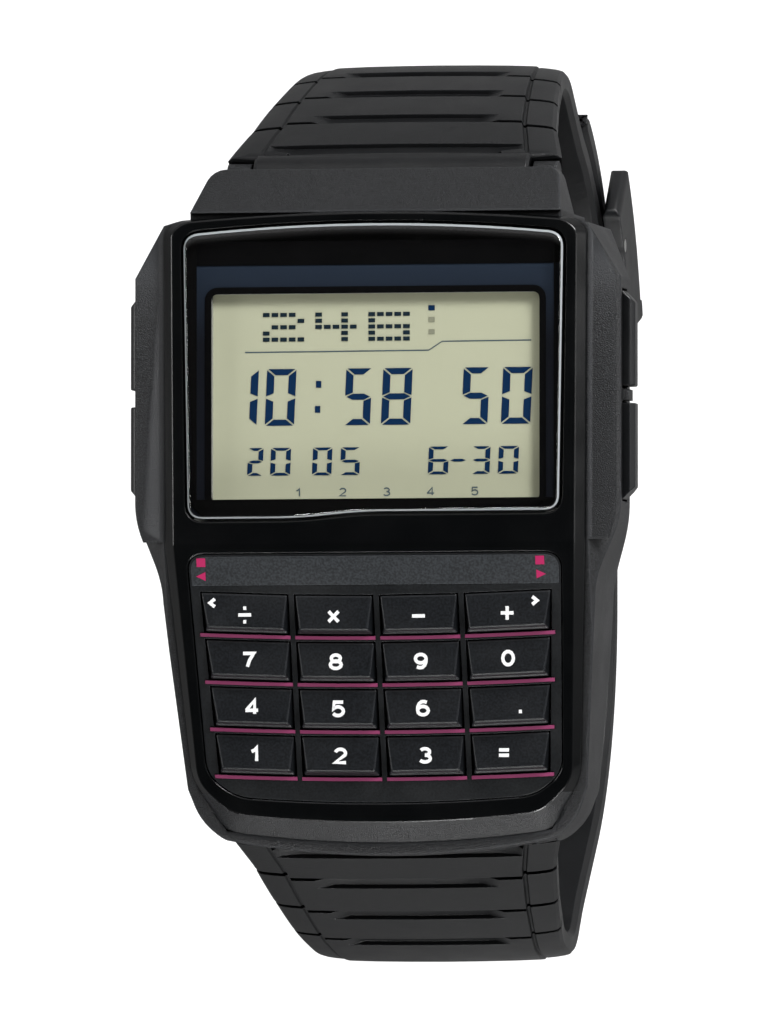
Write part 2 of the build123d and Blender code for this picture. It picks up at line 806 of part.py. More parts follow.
upper_bar = (upper_bar_y, -upper_bar_depth)
lower_bar = (lower_bar_y, -lower_bar_depth)
upper_start = (upper_bar_y + knuckle_radius * sin(radians(upper_heading)),
               -upper_bar_depth + knuckle_radius * cos(radians(upper_heading)))
lower_start = (lower_bar_y - knuckle_radius * sin(radians(lower_heading)),
               -lower_bar_depth - knuckle_radius * cos(radians(lower_heading)))
tucked_radius = loop_radius - strap_thickness - soft_gap
tuck_turn = degrees(acos((tucked_radius - tuck_radius) / (loop_radius - tuck_radius)))
tuck_run = (loop_radius - tuck_radius) * sin(radians(tuck_turn))
upper_rest = 180 - buckle_turn - upper_heading - upper_bend_turn - upper_turn - tuck_turn
upper_runs = [(upper_bend_radius, upper_bend_turn), (loop_radius, upper_turn), (tuck_radius, tuck_turn),
              (0, tuck_run), (tucked_radius, upper_rest)]
sole_turn = lower_heading - lower_bend_turn - lower_turn - knee_turn
upper_bend_end = ribbon_edges(upper_start, upper_heading, upper_runs[:1], 1, 0)[0] @ 1
loop_heading = radians(upper_heading + upper_bend_turn)
loop_centre = (upper_bend_end.X - loop_radius * sin(loop_heading),
               upper_bend_end.Y - loop_radius * cos(loop_heading))
dial_height = loop_radius - loop_centre[1]
leg_runs = [(0, lower_run_length), (lower_bend_radius, lower_bend_turn), (loop_radius, lower_turn),
            (knee_radius, knee_turn)]
knee_end = ribbon_edges(lower_start, lower_heading, leg_runs, -1, 0)[-1] @ 1
sole_angle = radians(sole_turn)
shin_length = (knee_end.Y + dial_height - sole_radius * (1 - cos(sole_angle))) / sin(sole_angle)
sole_start_y = knee_end.X + shin_length * cos(sole_angle)
base_length = loop_centre[0] - sole_start_y - sole_radius * sin(sole_angle)
lower_runs = leg_runs + [(0, shin_length), (sole_radius, sole_turn), (0, base_length),
                         (loop_radius, tail_turn)]


def loop_point(turn, radius):
    """Y and height of a point about the loop's lower arc, by its turn from straight down."""
    return (loop_centre[0] + radius * sin(radians(turn)), loop_centre[1] - radius * cos(radians(turn)))


def strap_blank(start, heading, runs, side, bar, tail_round):
    """Strap half as a ribbon of even thickness along its runs, tapered in width by depth."""
    outer = ribbon_edges(start, heading, runs, side, 0)
    inner = ribbon_edges(start, heading, runs, side, strap_thickness)
    ends = [Line(outer[-1] @ 1, inner[-1] @ 1), Line(inner[0] @ 0, outer[0] @ 0)]
    profile = make_face([line.edge() for line in outer + inner + ends])
    profile += Pos(*bar) * Circle(knuckle_radius)
    if tail_round:
        middle = ((outer[-1] @ 1) + (inner[-1] @ 1)) * 0.5
        profile += Pos(middle.X, middle.Y) * Circle(strap_thickness / 2)
    widest = strap_halves[0]
    ribbon = extrude(Plane.YZ * profile, amount=widest * 2, both=True)
    side_points = [(half, -depth) for half, depth in zip(strap_halves, strap_half_depths)]
    right = Spline(*side_points, tangents=[(0, -1), (0, -1)])
    top = (widest, 0)
    low = (strap_halves[-1], -dial_height - overrun)
    right_edges = [Line(top, side_points[0]), right, Line(side_points[-1], low)]
    edges = [line.edge() for line in right_edges]
    edges += [mirror(edge, about=Plane.YZ) for edge in edges]
    edges += [Line(low, (-low[0], low[1])).edge(), Line((-top[0], top[1]), top).edge()]
    taper = extrude(Plane.XZ * make_face(edges), amount=dial_height * 2, both=True)
    strap = ribbon & taper
    for way in (-1, 1):
        edge = rod(shoulder_gap, tongue_half_width, widest * 2, bar[0], -bar[1])
        strap -= edge if way > 0 else mirror(edge, about=Plane.YZ)
    strap -= rod(bar_radius + running_gap, -widest, widest, bar[0], -bar[1])
    return strap


def groove_cutters(start, heading, runs, side, first):
    """Grooves across the outer face between the links, scooped on the side away from the case."""
    outer = ribbon_edges(start, heading, runs, side, 0)
    reach = [line.length for line in outer]
    cutters = []
    for index in range(link_count):
        travel = first + index * link_pitch
        piece = 0
        while travel > reach[piece]:
            travel -= reach[piece]
            piece += 1
        share = travel / reach[piece]
        spot = outer[piece] @ share
        forward = outer[piece] % share
        outward = Vector(-forward.Y, forward.X) * side
        back = forward * (-groove_width / 2)
        corners = [spot + back + outward * fit_gap, spot - back + outward * fit_gap,
                   spot - back - outward * groove_depth, spot + back - outward * groove_depth]
        slot = side_prism([(point.X, point.Y) for point in corners], strap_halves[0] * 2)
        scoop = [spot + outward * fit_gap, spot + forward * scoop_width + outward * fit_gap,
                 spot + forward * scoop_width, spot - outward * scoop_depth]
        scoop_half = strap_halves[index] * scoop_share
        cutters += [slot, side_prism([(point.X, point.Y) for point in scoop], scoop_half)]
    return cutters


def strap_upper():
    """Upper half of the strap, from its lug to the buckle bar."""
    strap = strap_blank(upper_start, upper_heading, upper_runs, 1, upper_bar, True)
    for cutter in groove_cutters(upper_start, upper_heading, upper_runs, 1, upper_first_groove):
        strap -= cutter
    hinge = buckle_hinge()
    strap -= rod(buckle_bar_radius + running_gap, -strap_halves[0], strap_halves[0], hinge[0], -hinge[1])
    slot_half = tang_width / 2 + fit_gap
    low_turn = tang_rise_turn - tang_notch_turn
    high_turn = buckle_turn + tang_notch_turn
    inner = arm_inner_radius - overrun / 4
    notch = side_prism([loop_point(high_turn, inner), loop_point(high_turn, arm_outer_radius),
                        loop_point(low_turn, arm_outer_radius), loop_point(low_turn, inner)], slot_half)
    return strap - notch


def strap_lower():
    """Lower half of the strap, from its lug round the base and through the buckle, with its holes."""
    strap = strap_blank(lower_start, lower_heading, lower_runs, -1, lower_bar, True)
    for cutter in groove_cutters(lower_start, lower_heading, lower_runs, -1, lower_first_groove):
        strap -= cutter
    hole_turn = degrees(hole_pitch / loop_radius)
    first_turn = (tang_rise_turn + tang_root_turn) / 2
    for index in range(hole_count):
        turn = first_turn + (1 - index) * hole_turn
        if turn > 0:
            y, z = loop_point(turn, loop_radius - strap_thickness / 2)
            tilt = turn
        else:
            y = loop_centre[0] + radians(turn) * loop_radius
            z = -dial_height + strap_thickness / 2
            tilt = 0
        hole = extrude(SlotOverall(hole_length, hole_width, rotation=90), amount=strap_thickness, both=True)
        strap -= Pos(0, y, z) * Rot(tilt, 0, 0) * hole
    return strap


def buckle_hinge():
    """Y and height of the buckle bar's axis."""
    return loop_point(buckle_turn, tucked_radius - strap_thickness / 2)


def sector(low_turn, high_turn, inner, outer):
    """Face between two radii about the loop's lower arc, from one turn to another."""
    mid_turn = (low_turn + high_turn) / 2
    points = {name: loop_point(turn, radius) for name, turn, radius in (
        ("low_in", low_turn, inner), ("low_out", low_turn, outer), ("mid_in", mid_turn, inner),
        ("mid_out", mid_turn, outer), ("high_in", high_turn, inner), ("high_out", high_turn, outer))}
    lines = [Line(points["low_in"], points["low_out"]),
             ThreePointArc(points["low_out"], points["mid_out"], points["high_out"]),
             Line(points["high_out"], points["high_in"]),
             ThreePointArc(points["high_in"], points["mid_in"], points["low_in"])]
    return Plane.YZ * make_face([line.edge() for line in lines])


def buckle_frame():
    """Moulded buckle: two arms beside the strap and the far bar with its notch for the tang."""
    inner_half = strap_halves[-1] + arm_clearance
    outer_half = inner_half + arm_thickness
    side = sector(arm_low_turn, arm_high_turn, arm_inner_radius, arm_outer_radius)
    arm = extrude(side, amount=arm_thickness)
    arms = both_sides(Pos(inner_half, 0, 0) * arm)
    bar = extrude(sector(arm_low_turn, far_bar_high_turn, far_bar_inner_radius, far_bar_outer_radius),
                  amount=outer_half, both=True)
    notch_floor = tang_seat_radius - running_gap
    notch = extrude(sector(0, far_bar_high_turn * 2, notch_floor, far_bar_outer_radius * 2),
                    amount=tang_width / 2 + fit_gap, both=True)
    frame = arms + bar - notch
    hinge = buckle_hinge()
    return frame - rod(buckle_bar_radius + running_gap, -outer_half * 2, outer_half * 2, hinge[0], -hinge[1])


def buckle_tang():
    """Tongue that loops round the buckle bar, passes through a strap hole and rests on the far bar."""
    hinge = buckle_hinge()
    half = tang_width / 2
    riser = extrude(sector(tang_rise_turn, tang_root_turn, tucked_radius - strap_thickness / 2 - running_gap,
                           tang_seat_radius + tang_thickness), amount=half, both=True)
    tang_top = tang_seat_radius + tang_thickness
    blade = extrude(sector(tang_low_turn, tang_root_turn, tang_seat_radius, tang_top),
                    amount=half, both=True)
    loop = rod(strap_thickness / 2, -half, half, hinge[0], -hinge[1])
    tang = riser + blade + loop
    return tang - rod(buckle_bar_radius + running_gap, -half * 2, half * 2, hinge[0], -hinge[1])


def buckle_bar():
    """Spring bar of the buckle, between its two arms."""
    hinge = buckle_hinge()
    half = strap_halves[-1] + arm_clearance + arm_thickness
    return rod(buckle_bar_radius, -half, half, hinge[0], -hinge[1])


def lug_bar(bar_y, bar_depth):
    """Spring bar with thin tips, through a strap end and into the lugs."""
    half = lug_inner_half - running_gap
    body = rod(bar_radius, -half, half, bar_y, bar_depth)
    tip_half = lug_inner_half + bar_tip_length
    return body + rod(bar_tip_radius, -tip_half, tip_half, bar_y, bar_depth)


def display_panel():
    """The liquid crystal display."""
    return slab(display_outline(display_margin), display_depth, display_thickness)


pieces = {
    "case_body": case_body(),
    "front_bezel": front_bezel(),
    "crystal": crystal(),
    "crystal_gasket": crystal_gasket(),
    "display_panel": display_panel(),
    "display_holder": display_holder(),
    "connector_strips": connector_strips(),
    "light_panel": light_panel(),
    "circuit_board": circuit_board(),
    "chip_package": chip_package(),
    "module_frame": module_frame(),
    "battery": battery(),
    "battery_clip": battery_clip(),
    "buzzer_disc": buzzer_disc(),
    "key_panel": key_panel(),
    "key_mat": key_mat(),
    "key_board": key_board(),
    "button_seals": button_seals(),
    "contact_springs": contact_springs(),
    "case_back": case_back(),
    "back_gasket": back_gasket(),
    "back_screws": back_screws(),
    "strap_upper": strap_upper(),
    "strap_lower": strap_lower(),
    "lug_bar_upper": lug_bar(upper_bar_y, upper_bar_depth),
    "lug_bar_lower": lug_bar(lower_bar_y, lower_bar_depth),
    "buckle_frame": buckle_frame(),
    "buckle_tang": buckle_tang(),
    "buckle_bar": buckle_bar(),
}
for row in range(key_rows):
    for column in range(key_columns):
        pieces[f"key_{row + 1}{column + 1}"] = key_cap(row, column)
for name, y, outer_end in zip(("upper", "lower"), button_centres(), (1, -1)):
    button = side_button(y, outer_end)
    pieces[f"button_right_{name}"] = button
    pieces[f"button_left_{name}"] = mirror(button, about=Plane.YZ)

for name, piece in pieces.items():
    export_step(Pos(0, 0, dial_height) * piece, f"parts/{name}.step")
print("dial height", round(dial_height, 3), "buckle hinge", buckle_hinge())
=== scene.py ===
from math import acos, cos, degrees, radians, sin

import bmesh
import bpy
from mathutils import Matrix, Vector


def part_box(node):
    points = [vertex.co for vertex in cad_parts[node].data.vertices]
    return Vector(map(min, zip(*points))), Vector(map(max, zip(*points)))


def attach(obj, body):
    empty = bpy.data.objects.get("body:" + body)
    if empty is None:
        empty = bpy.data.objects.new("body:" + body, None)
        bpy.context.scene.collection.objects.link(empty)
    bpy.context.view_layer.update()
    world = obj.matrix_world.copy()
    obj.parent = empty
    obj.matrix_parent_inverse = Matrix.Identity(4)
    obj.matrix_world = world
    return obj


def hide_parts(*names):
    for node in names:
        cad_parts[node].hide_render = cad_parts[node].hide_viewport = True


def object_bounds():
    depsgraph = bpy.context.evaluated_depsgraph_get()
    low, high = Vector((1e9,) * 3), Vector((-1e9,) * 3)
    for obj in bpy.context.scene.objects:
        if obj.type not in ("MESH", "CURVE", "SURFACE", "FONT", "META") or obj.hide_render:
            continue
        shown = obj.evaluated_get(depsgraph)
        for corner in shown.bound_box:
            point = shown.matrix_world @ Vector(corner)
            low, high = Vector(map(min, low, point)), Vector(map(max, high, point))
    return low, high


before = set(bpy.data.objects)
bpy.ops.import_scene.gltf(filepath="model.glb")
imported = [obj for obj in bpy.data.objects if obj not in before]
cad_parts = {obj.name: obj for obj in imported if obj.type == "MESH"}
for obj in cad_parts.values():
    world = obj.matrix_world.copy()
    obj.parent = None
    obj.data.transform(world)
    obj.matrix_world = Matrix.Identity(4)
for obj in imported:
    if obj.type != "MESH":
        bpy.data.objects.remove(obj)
cad_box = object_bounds()

# The studio: a long lens looks down on the dial from a little past 3 o'clock and a little past
# 6 o'clock. The watch stands on its closed strap on a white table, in a pale room whose ceiling
# is dark, so the faces that look straight at the lens stay deep black and the slopes catch light.
mm = 0.001
dial_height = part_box("crystal")[1][2]
view_turn, view_tip = radians(10.0), radians(-2.7)
lens_distance, sensor_height = 2.4, 36.0
pixels_per_mm = 13.55
picture_width, picture_height = 768, 1024
dial_pixel_x, dial_pixel_y = 372.5, 531.5


def placed(name, data):
    """A new object with the data, linked to the scene."""
    made = bpy.data.objects.new(name, data)
    bpy.context.scene.collection.objects.link(made)
    return made


across = Vector((cos(view_turn), 0, -sin(view_turn)))
upward = Vector((-sin(view_turn) * sin(view_tip), cos(view_tip), -cos(view_turn) * sin(view_tip)))
toward_lens = across.cross(upward)
shift = across * (picture_width / 2 - dial_pixel_x) + upward * (dial_pixel_y - picture_height / 2)
camera_data = bpy.data.cameras.new("photo_camera")
camera_data.sensor_fit = "VERTICAL"
camera_data.sensor_height = sensor_height
camera_data.lens = sensor_height * lens_distance / (picture_height / pixels_per_mm * mm)
camera_data.clip_start, camera_data.clip_end = 0.01, 50.0
camera = placed("photo_camera", camera_data)
camera_place = Matrix((across, upward, toward_lens)).transposed().to_4x4()
camera_place.translation = Vector((0, 0, dial_height)) + shift / pixels_per_mm * mm + toward_lens * lens_distance
camera.matrix_world = camera_place
bpy.context.scene.camera = camera
bpy.context.scene.view_settings.view_transform = "Standard"


def add_node(tree, kind, *inputs, **settings):
    """A node with its settings. Inputs, in order or in one dict, are constants, sockets or nodes."""
    made = tree.nodes.new(kind if "Node" in kind else "ShaderNode" + kind)
    for name, value in settings.items():
        setattr(made, name, value)
    named = inputs[0] if inputs and isinstance(inputs[0], dict) else dict(enumerate(inputs))
    for socket, value in named.items():
        if isinstance(value, bpy.types.Node):
            value = value.outputs[0]
        if isinstance(value, bpy.types.NodeSocket):
            tree.links.new(value, made.inputs[socket])
        else:
            made.inputs[socket].default_value = value
    return made


def mapped(tree, value, low, high, to_low=0.0, to_high=1.0, **settings):
    """The value carried over from one range to another."""
    return add_node(tree, "MapRange", {"Value": value, "From Min": low, "From Max": high,
            "To Min": to_low, "To Max": to_high}, **settings)


def material_tree(name):
    """A new material and its node tree, empty."""
    made = bpy.data.materials.new(name)
    made.use_nodes = True
    made.node_tree.nodes.clear()
    return made, made.node_tree


def shown(made, shader):
    """The material with the shader on its surface."""
    add_node(made.node_tree, "OutputMaterial", shader)
    return made


def coated(made, colour, roughness, **inputs):
    """The material with a principled surface. Its other inputs have underscores for spaces."""
    named = {key.replace("_", " "): value for key, value in inputs.items()}
    return shown(made, add_node(made.node_tree, "BsdfPrincipled", {
        "Base Color": colour, "Roughness": roughness, **named}))


def linear(hex_colour):
    """Linear colour from an sRGB hex colour."""
    parts = [int(hex_colour[i:i + 2], 16) / 255 for i in (1, 3, 5)]
    return tuple(c / 12.92 if c <= 0.04045 else ((c + 0.055) / 1.055) ** 2.4 for c in parts) + (1.0,)


white = (1, 1, 1, 1)
room = bpy.data.worlds.new("room")
room.use_nodes = True
bpy.context.scene.world = room
tree = room.node_tree
tree.nodes.clear()
direction = add_node(tree, "SeparateXYZ", add_node(tree, "TexCoord").outputs["Generated"])
ceiling = mapped(tree, direction.outputs["Z"], 0.1, 0.6, 0.22, 0.0, interpolation_type="SMOOTHSTEP")
skylight = mapped(tree, direction.outputs["Y"], 0.18, 0.6, interpolation_type="SMOOTHSTEP")
overhead = mapped(tree, direction.outputs["Z"], 0.3, 0.55)
skylight = add_node(tree, "Math", skylight, overhead, operation="MULTIPLY")
room_light = add_node(tree, "Math", ceiling, skylight, operation="ADD")
seen = add_node(tree, "LightPath").outputs
backdrop = add_node(tree, "Math", seen["Is Camera Ray"], seen["Is Transmission Ray"], operation="MAXIMUM")
strength = add_node(tree, "Mix", {0: backdrop, 2: room_light, 3: 1.0})
add_node(tree, "OutputWorld", add_node(tree, "Background", white, strength))

# Four lamps, named for the hour they stand at: place in metres, width, depth and watts.
softboxes = (("softbox_12", (0.22, 0.24, 0.24), 0.16, 0.10, 1.7),
        ("softbox_6", (0.06, -0.42, 0.20), 0.26, 0.10, 1.6),
        ("softbox_3", (0.46, 0.02, 0.24), 0.22, 0.10, 0.25),
        ("softbox_9", (-0.46, 0.04, 0.24), 0.22, 0.10, 0.8))
for name, spot, width, depth, watts in softboxes:
    lamp_data = bpy.data.lights.new(name, "AREA")
    lamp_data.shape = "RECTANGLE"
    lamp_data.size, lamp_data.size_y, lamp_data.energy = width, depth, watts
    facing = (Vector((0, 0, dial_height)) - Vector(spot)).to_track_quat("-Z", "Y")
    placed(name, lamp_data).matrix_world = Matrix.Translation(spot) @ facing.to_matrix().to_4x4()

table_half, table_height = 3.0, cad_box[0][2] - 0.1 * mm
square = ((-1, -1), (1, -1), (1, 1), (-1, 1))
table_mesh = bpy.data.meshes.new("table")
table_mesh.from_pydata([(x * table_half, y * table_half, table_height) for x, y in square], [], [(0, 1, 2, 3)])
table = placed("table", table_mesh)
# White paper, lit a little from within for the lens alone, so it stays white round a black watch.
table_white, tree = material_tree("white_table")
seen = add_node(tree, "LightPath").outputs["Is Camera Ray"]
matt = add_node(tree, "BsdfDiffuse", linear("#8C8C8C"))
soft_white = add_node(tree, "AddShader", matt, add_node(tree, "Emission", white, 0.93))
paper = add_node(tree, "MixShader", seen, matt, soft_white)
table_mesh.materials.append(shown(table_white, paper))


# The case: one shell injection moulded in black resin, its mould spark-eroded to a fine matte grain.
# Shoulders, strap cover and lugs are part of it, and every edge keeps the small radius of the mould.
def object_place(tree):
    """Place on the piece in metres, which patterns are laid out by."""
    return add_node(tree, "TexCoord").outputs["Object"]


def noise(tree, size, detail, spot=None):
    """Noise whose features have a real size in millimetres."""
    spot = spot or object_place(tree)
    return add_node(tree, "TexNoise", {"Vector": spot, "Scale": 1 / (size * mm), "Detail": detail})


def cloudy(tree, size, detail, low, high):
    """A value that varies between two, in faint clouds of a size in millimetres."""
    return mapped(tree, noise(tree, size, detail), 0.3, 0.7, low, high)


def shaded(colour, share):
    """The colour made lighter or darker by a share of its light."""
    return tuple(part * share for part in linear(colour)[:3]) + (1,)


def blend(tree, share, low, high):
    """A colour between two, as a socket."""
    return add_node(tree, "Mix", {0: share, 6: low, 7: high}, data_type="RGBA").outputs[2]


def moulded_resin(name, colour, roughness, grain_size, grain_height, mottle=0.2, soft_edge=0.08):
    """Moulded resin, sizes in millimetres: fine grain breaks the light up, clouds vary the gloss, edges are
    painted paler, part wear and part painted highlight, and hollows get painted shade, darker and duller."""
    edge_wear_and_highlight_share, painted_hollow_shade_share, painted_shade_reach, cloud_size = 2.5, 0.15, 0.9, 4.0
    made, tree = material_tree(name)
    grain = noise(tree, grain_size, 1.0)
    gloss = cloudy(tree, cloud_size, 3.0, roughness - 0.05, roughness + 0.05)
    depth = mapped(tree, grain, 0.35, 0.65)
    shade = blend(tree, depth, shaded(colour, 1 - mottle), shaded(colour, 1 + mottle))
    rounded = add_node(tree, "Bevel", soft_edge * mm, samples=4)
    bump = add_node(tree, "Bump", {"Height": grain, "Strength": 1.0, "Distance": grain_height * mm,
            "Normal": rounded})
    straight = add_node(tree, "NewGeometry").outputs["Normal"]
    turned = add_node(tree, "VectorMath", rounded, straight, operation="DOT_PRODUCT")
    # Paler edges from a bevel mask: part wear, part painted highlight on every ridge.
    edge_wear_and_highlight = mapped(tree, turned.outputs["Value"], 0.995, 0.9)
    shade = blend(tree, edge_wear_and_highlight, shade, shaded(colour, edge_wear_and_highlight_share))
    # Painted shade: ambient occlusion darkens the colour of hollows and lowers their gloss.
    painted_occlusion_shade = add_node(tree, "AmbientOcclusion", {"Distance": painted_shade_reach * mm}, samples=6)
    unshaded_share = mapped(tree, painted_occlusion_shade.outputs["AO"], 0.35, 0.95)
    shade = blend(tree, unshaded_share, shaded(colour, painted_hollow_shade_share), shade)
    mirror = mapped(tree, unshaded_share, 0.0, 1.0, 0.08, 0.5)
    return coated(made, shade, gloss, Specular_IOR_Level=mirror, Normal=bump)


def loose_piece(name, shape):
    """An object from a bmesh, as it is."""
    mesh = bpy.data.meshes.new(name)
    shape.to_mesh(mesh)
    shape.free()
    return placed(name, mesh)


crease, merge_distance = radians(24), 0.0004 * mm


def smooth_mesh(shape, mesh):
    """The mesh filled from a bmesh, smooth but for its creases."""
    for face in shape.faces:
        face.smooth = True
    shape.to_mesh(mesh)
    shape.free()
    mesh.set_sharp_from_angle(angle=crease)
    return mesh


def new_piece(name, shape):
    """An object from a bmesh, with its doubles merged and its normals outward."""
    bmesh.ops.remove_doubles(shape, verts=shape.verts, dist=merge_distance)
    bmesh.ops.recalc_face_normals(shape, faces=shape.faces)
    return placed(name, smooth_mesh(shape, bpy.data.meshes.new(name)))


def applied(piece):
    """The piece with its modifiers turned into mesh."""
    finished = bpy.data.meshes.new_from_object(piece.evaluated_get(bpy.context.evaluated_depsgraph_get()))
    piece.modifiers.clear()
    piece.data = finished
    return piece


def mould_radius(piece, radius, segments=2, angle=28):
    """Rounds the piece's sharp edges by the radius in millimetres."""
    edge = piece.modifiers.new("mould_radius", "BEVEL")
    edge.width = radius * mm
    edge.segments = segments
    edge.limit_method = "ANGLE"
    edge.angle_limit = radians(angle)
    edge.miter_outer = "MITER_ARC"
    edge.harden_normals = True
    return applied(piece)


def soften(piece, radius, shortest, chosen):
    """Rounds long outer edges, picked by a test on their middle in millimetres and their steepness."""
    shape = bmesh.new()
    shape.from_mesh(piece.data)
    picked = []
    for edge in shape.edges:
        low, high = (vertex.co / mm for vertex in edge.verts)
        middle, length, rise = (low + high) / 2, (high - low).length, abs(high.z - low.z)
        outer = len(edge.link_faces) == 2 and edge.calc_face_angle_signed(0) > crease
        if length > shortest and outer and chosen(abs(middle.x), middle.y, middle.z, rise / length):
            picked.append(edge)
    bmesh.ops.bevel(shape, geom=picked, offset=radius * mm, segments=4, profile=0.5, affect="EDGES",
            clamp_overlap=False)
    smooth_mesh(shape, piece.data)
    return piece


def cad_copy(node_name):
    """A copy of a CAD node's mesh, its flat faces whole again, to be worked on."""
    shape = bmesh.new()
    shape.from_mesh(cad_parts[node_name].data)
    bmesh.ops.remove_doubles(shape, verts=shape.verts, dist=0.0005 * mm)
    bmesh.ops.dissolve_limit(shape, angle_limit=radians(0.4), verts=shape.verts, edges=shape.edges)
    piece = new_piece(node_name + "_moulded", shape)
    if "custom_normal" in piece.data.attributes:
        piece.data.attributes.remove(piece.data.attributes["custom_normal"])
    return piece


def dress(piece, material, *nodes, body="watch", slot=None):
    """The piece in its material, in place of CAD nodes, on its body. The slot argument is not used."""
    piece.data.materials.clear()
    piece.data.materials.append(material)
    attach(piece, body)
    if nodes:
        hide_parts(*nodes)
    return piece


def upright_corner(x, y, z, steep):
    """The steep corners of the strap cover and at 5 and 7 o'clock, which the mould rounds most."""
    return steep > 0.7 and x > 11 and ((y > 26 and z > 47) or y < -20)


# Matte resin from a spark-eroded mould: deep sparkling grain, and soft pale edges, part wear and part painted
# highlight.
case_resin = moulded_resin("spark_eroded_black_resin", "#1C1D1F", 0.46, 0.09, 0.05, 0.9, 0.35)
case = soften(cad_copy("case_body"), 0.9, 1.2, upright_corner)
dress(mould_radius(case, 0.2), case_resin, "case_body", slot="case_resin")


# The bezel: a separate satin resin frame, a flat part round the crystal and a part that slopes with the
# keypad, with a steep bevel outside. It is pressed into the case and holds crystal and keypad panel.
keypad_slope = radians(15.75)
fold_y = -0.9
bezel_sink = 0.3
band_half_top, band_half_fold, band_half_low = 15.15, 15.0, 14.03
band_corner_half, band_corner_y, band_top_y, band_top_bow = 14.2, 22.3, 23.0, 0.6
band_low_y, band_toe_half, band_toe_y, band_toe_bow = -18.1, 11.6, -20.4, 0.7
bevel_width, low_bevel_width, bevel_drop = 0.75, 0.57, 0.7
skirt_drop, skirt_toe_half, skirt_toe_y, skirt_bow = 1.64, 12.3, -23.0, 1.05
crystal_half_top, crystal_half_low, crystal_top_y, crystal_bow, crystal_low_y = 14.3, 13.95, 22.1, 0.75, 1.0
crystal_step, crystal_step_start, crystal_step_end, crystal_corner = 0.46, -5.7, -0.8, 1.2
panel_half_top, panel_half_low, panel_top_y, panel_side_end = 14.0, 13.3, -0.75, -17.5
panel_toe_half, panel_toe_y, panel_bow, panel_corner = 11.2, -19.15, 0.5, 1.3
seat_gap, skirt_low_y, skirt_low_bow, toe_corner, top_corner = 0.16, -21.5, 0.85, 1.2, 0.5


def outline(corners, steps=7):
    """Closed plan, anticlockwise, from corners (x, y, radius, bow of the edge that follows)."""
    def edge_point(index, share):
        x, y, _, bow = corners[index]
        end = corners[(index + 1) % len(corners)]
        edge = Vector((end[0] - x, end[1] - y))
        outward = Vector((edge.y, -edge.x)).normalized()
        return Vector((x, y)) + edge * share + outward * bow * 4 * share * (1 - share), edge.length
    points = []
    for index, (x, y, radius, bow) in enumerate(corners):
        length = edge_point(index, 0)[1]
        start, end = radius / length, 1 - corners[(index + 1) % len(corners)][2] / length
        if radius == 0:
            points.append(Vector((x, y)))
        else:
            before = edge_point(index - 1, 1 - radius / edge_point(index - 1, 0)[1])[0]
            after = edge_point(index, start)[0]
            for step in range(steps + 1):
                t = step / steps
                points.append(before * (1 - t) ** 2 + Vector((x, y)) * 2 * t * (1 - t) + after * t ** 2)
        if bow:
            points += [edge_point(index, start + (end - start) * step / 16)[0] for step in range(1, 16)]
    return points


def even_outline(right, low_bow=0.0):
    """Closed plan with both sides alike, from its right corners upwards and the bow of its low edge."""
    left = [(-x, y, radius, 0) for x, y, radius, _ in right]
    return outline([left[0][:3] + (low_bow,), *right, *left[:0:-1]])


def inset(points, amount):
    """The outline moved inwards by the amount."""
    moved = []
    for index, point in enumerate(points):
        way = (points[(index + 1) % len(points)] - points[index - 1]).normalized()
        moved.append(point + Vector((-way.y, way.x)) * amount)
    return moved


def on_flat(x, y, depth):
    """Place in metres at a depth below the crystal's top."""
    return Vector((x * mm, y * mm, dial_height - depth * mm))


def on_slope(x, along, up):
    """Place in metres along the keypad's slope, from the fold, and above it."""
    y = fold_y + along * cos(keypad_slope) - up * sin(keypad_slope)
    return on_flat(x, y, bezel_sink - along * sin(keypad_slope) - up * cos(keypad_slope))


def folded(x, y, drop):
    """Place on the bezel's face, which bends at the fold."""
    return on_flat(x, y, bezel_sink + drop) if y >= fold_y else on_slope(x, y - fold_y, -drop)


def skin(shape, rings, caps=True):
    """Faces between rings of equal counts, and flat ends."""
    loops = [[shape.verts.new(point) for point in ring] for ring in rings]
    for low, high in zip(loops, loops[1:]):
        for index in range(len(low)):
            shape.faces.new((low[index - 1], low[index], high[index], high[index - 1]))
    if caps:
        shape.faces.new(loops[0])
        shape.faces.new(loops[-1])
    return loops


def lofted(name, *stacks, caps=True):
    """A piece with a skin over each stack of rings."""
    shape = bmesh.new()
    for rings in stacks:
        skin(shape, rings, caps)
    return new_piece(name, shape)


def slab(name, plan, place, levels):
    """A flat piece with the plan between two levels, set on the part by on_flat or on_slope."""
    return lofted(name, [[place(point.x, point.y, level) for point in plan] for level in levels])


def carve(piece, *cutters, operation="DIFFERENCE"):
    """Cuts the cutters out of the piece, or joins them to it, and removes them."""
    for cutter in cutters:
        cut = piece.modifiers.new("cut", "BOOLEAN")
        cut.object, cut.operation, cut.solver = cutter, operation, "EXACT"
    applied(piece).data.set_sharp_from_angle(angle=crease)
    for cutter in cutters:
        bpy.data.objects.remove(cutter)
    return piece


def frame_ring(low_half, toe_half, toe_y, toe_bow, widen, drop):
    """One ring round the bezel, both sides alike, lowered by the drop."""
    right = [(toe_half, fold_y + toe_y, toe_corner, 0), (low_half, fold_y + band_low_y, toe_corner, 0),
            (band_half_fold + widen, fold_y, 0, 0), (band_half_top + widen, band_corner_y, top_corner, 0),
            (band_corner_half + widen * 0.9, band_top_y + widen * 0.2, top_corner, band_top_bow)]
    left = [(-x, y, radius, 0) for x, y, radius, _ in right[::-1]]
    left[-1] = left[-1][:3] + (toe_bow,)
    return [folded(point.x, point.y, drop) for point in outline(right + left)]


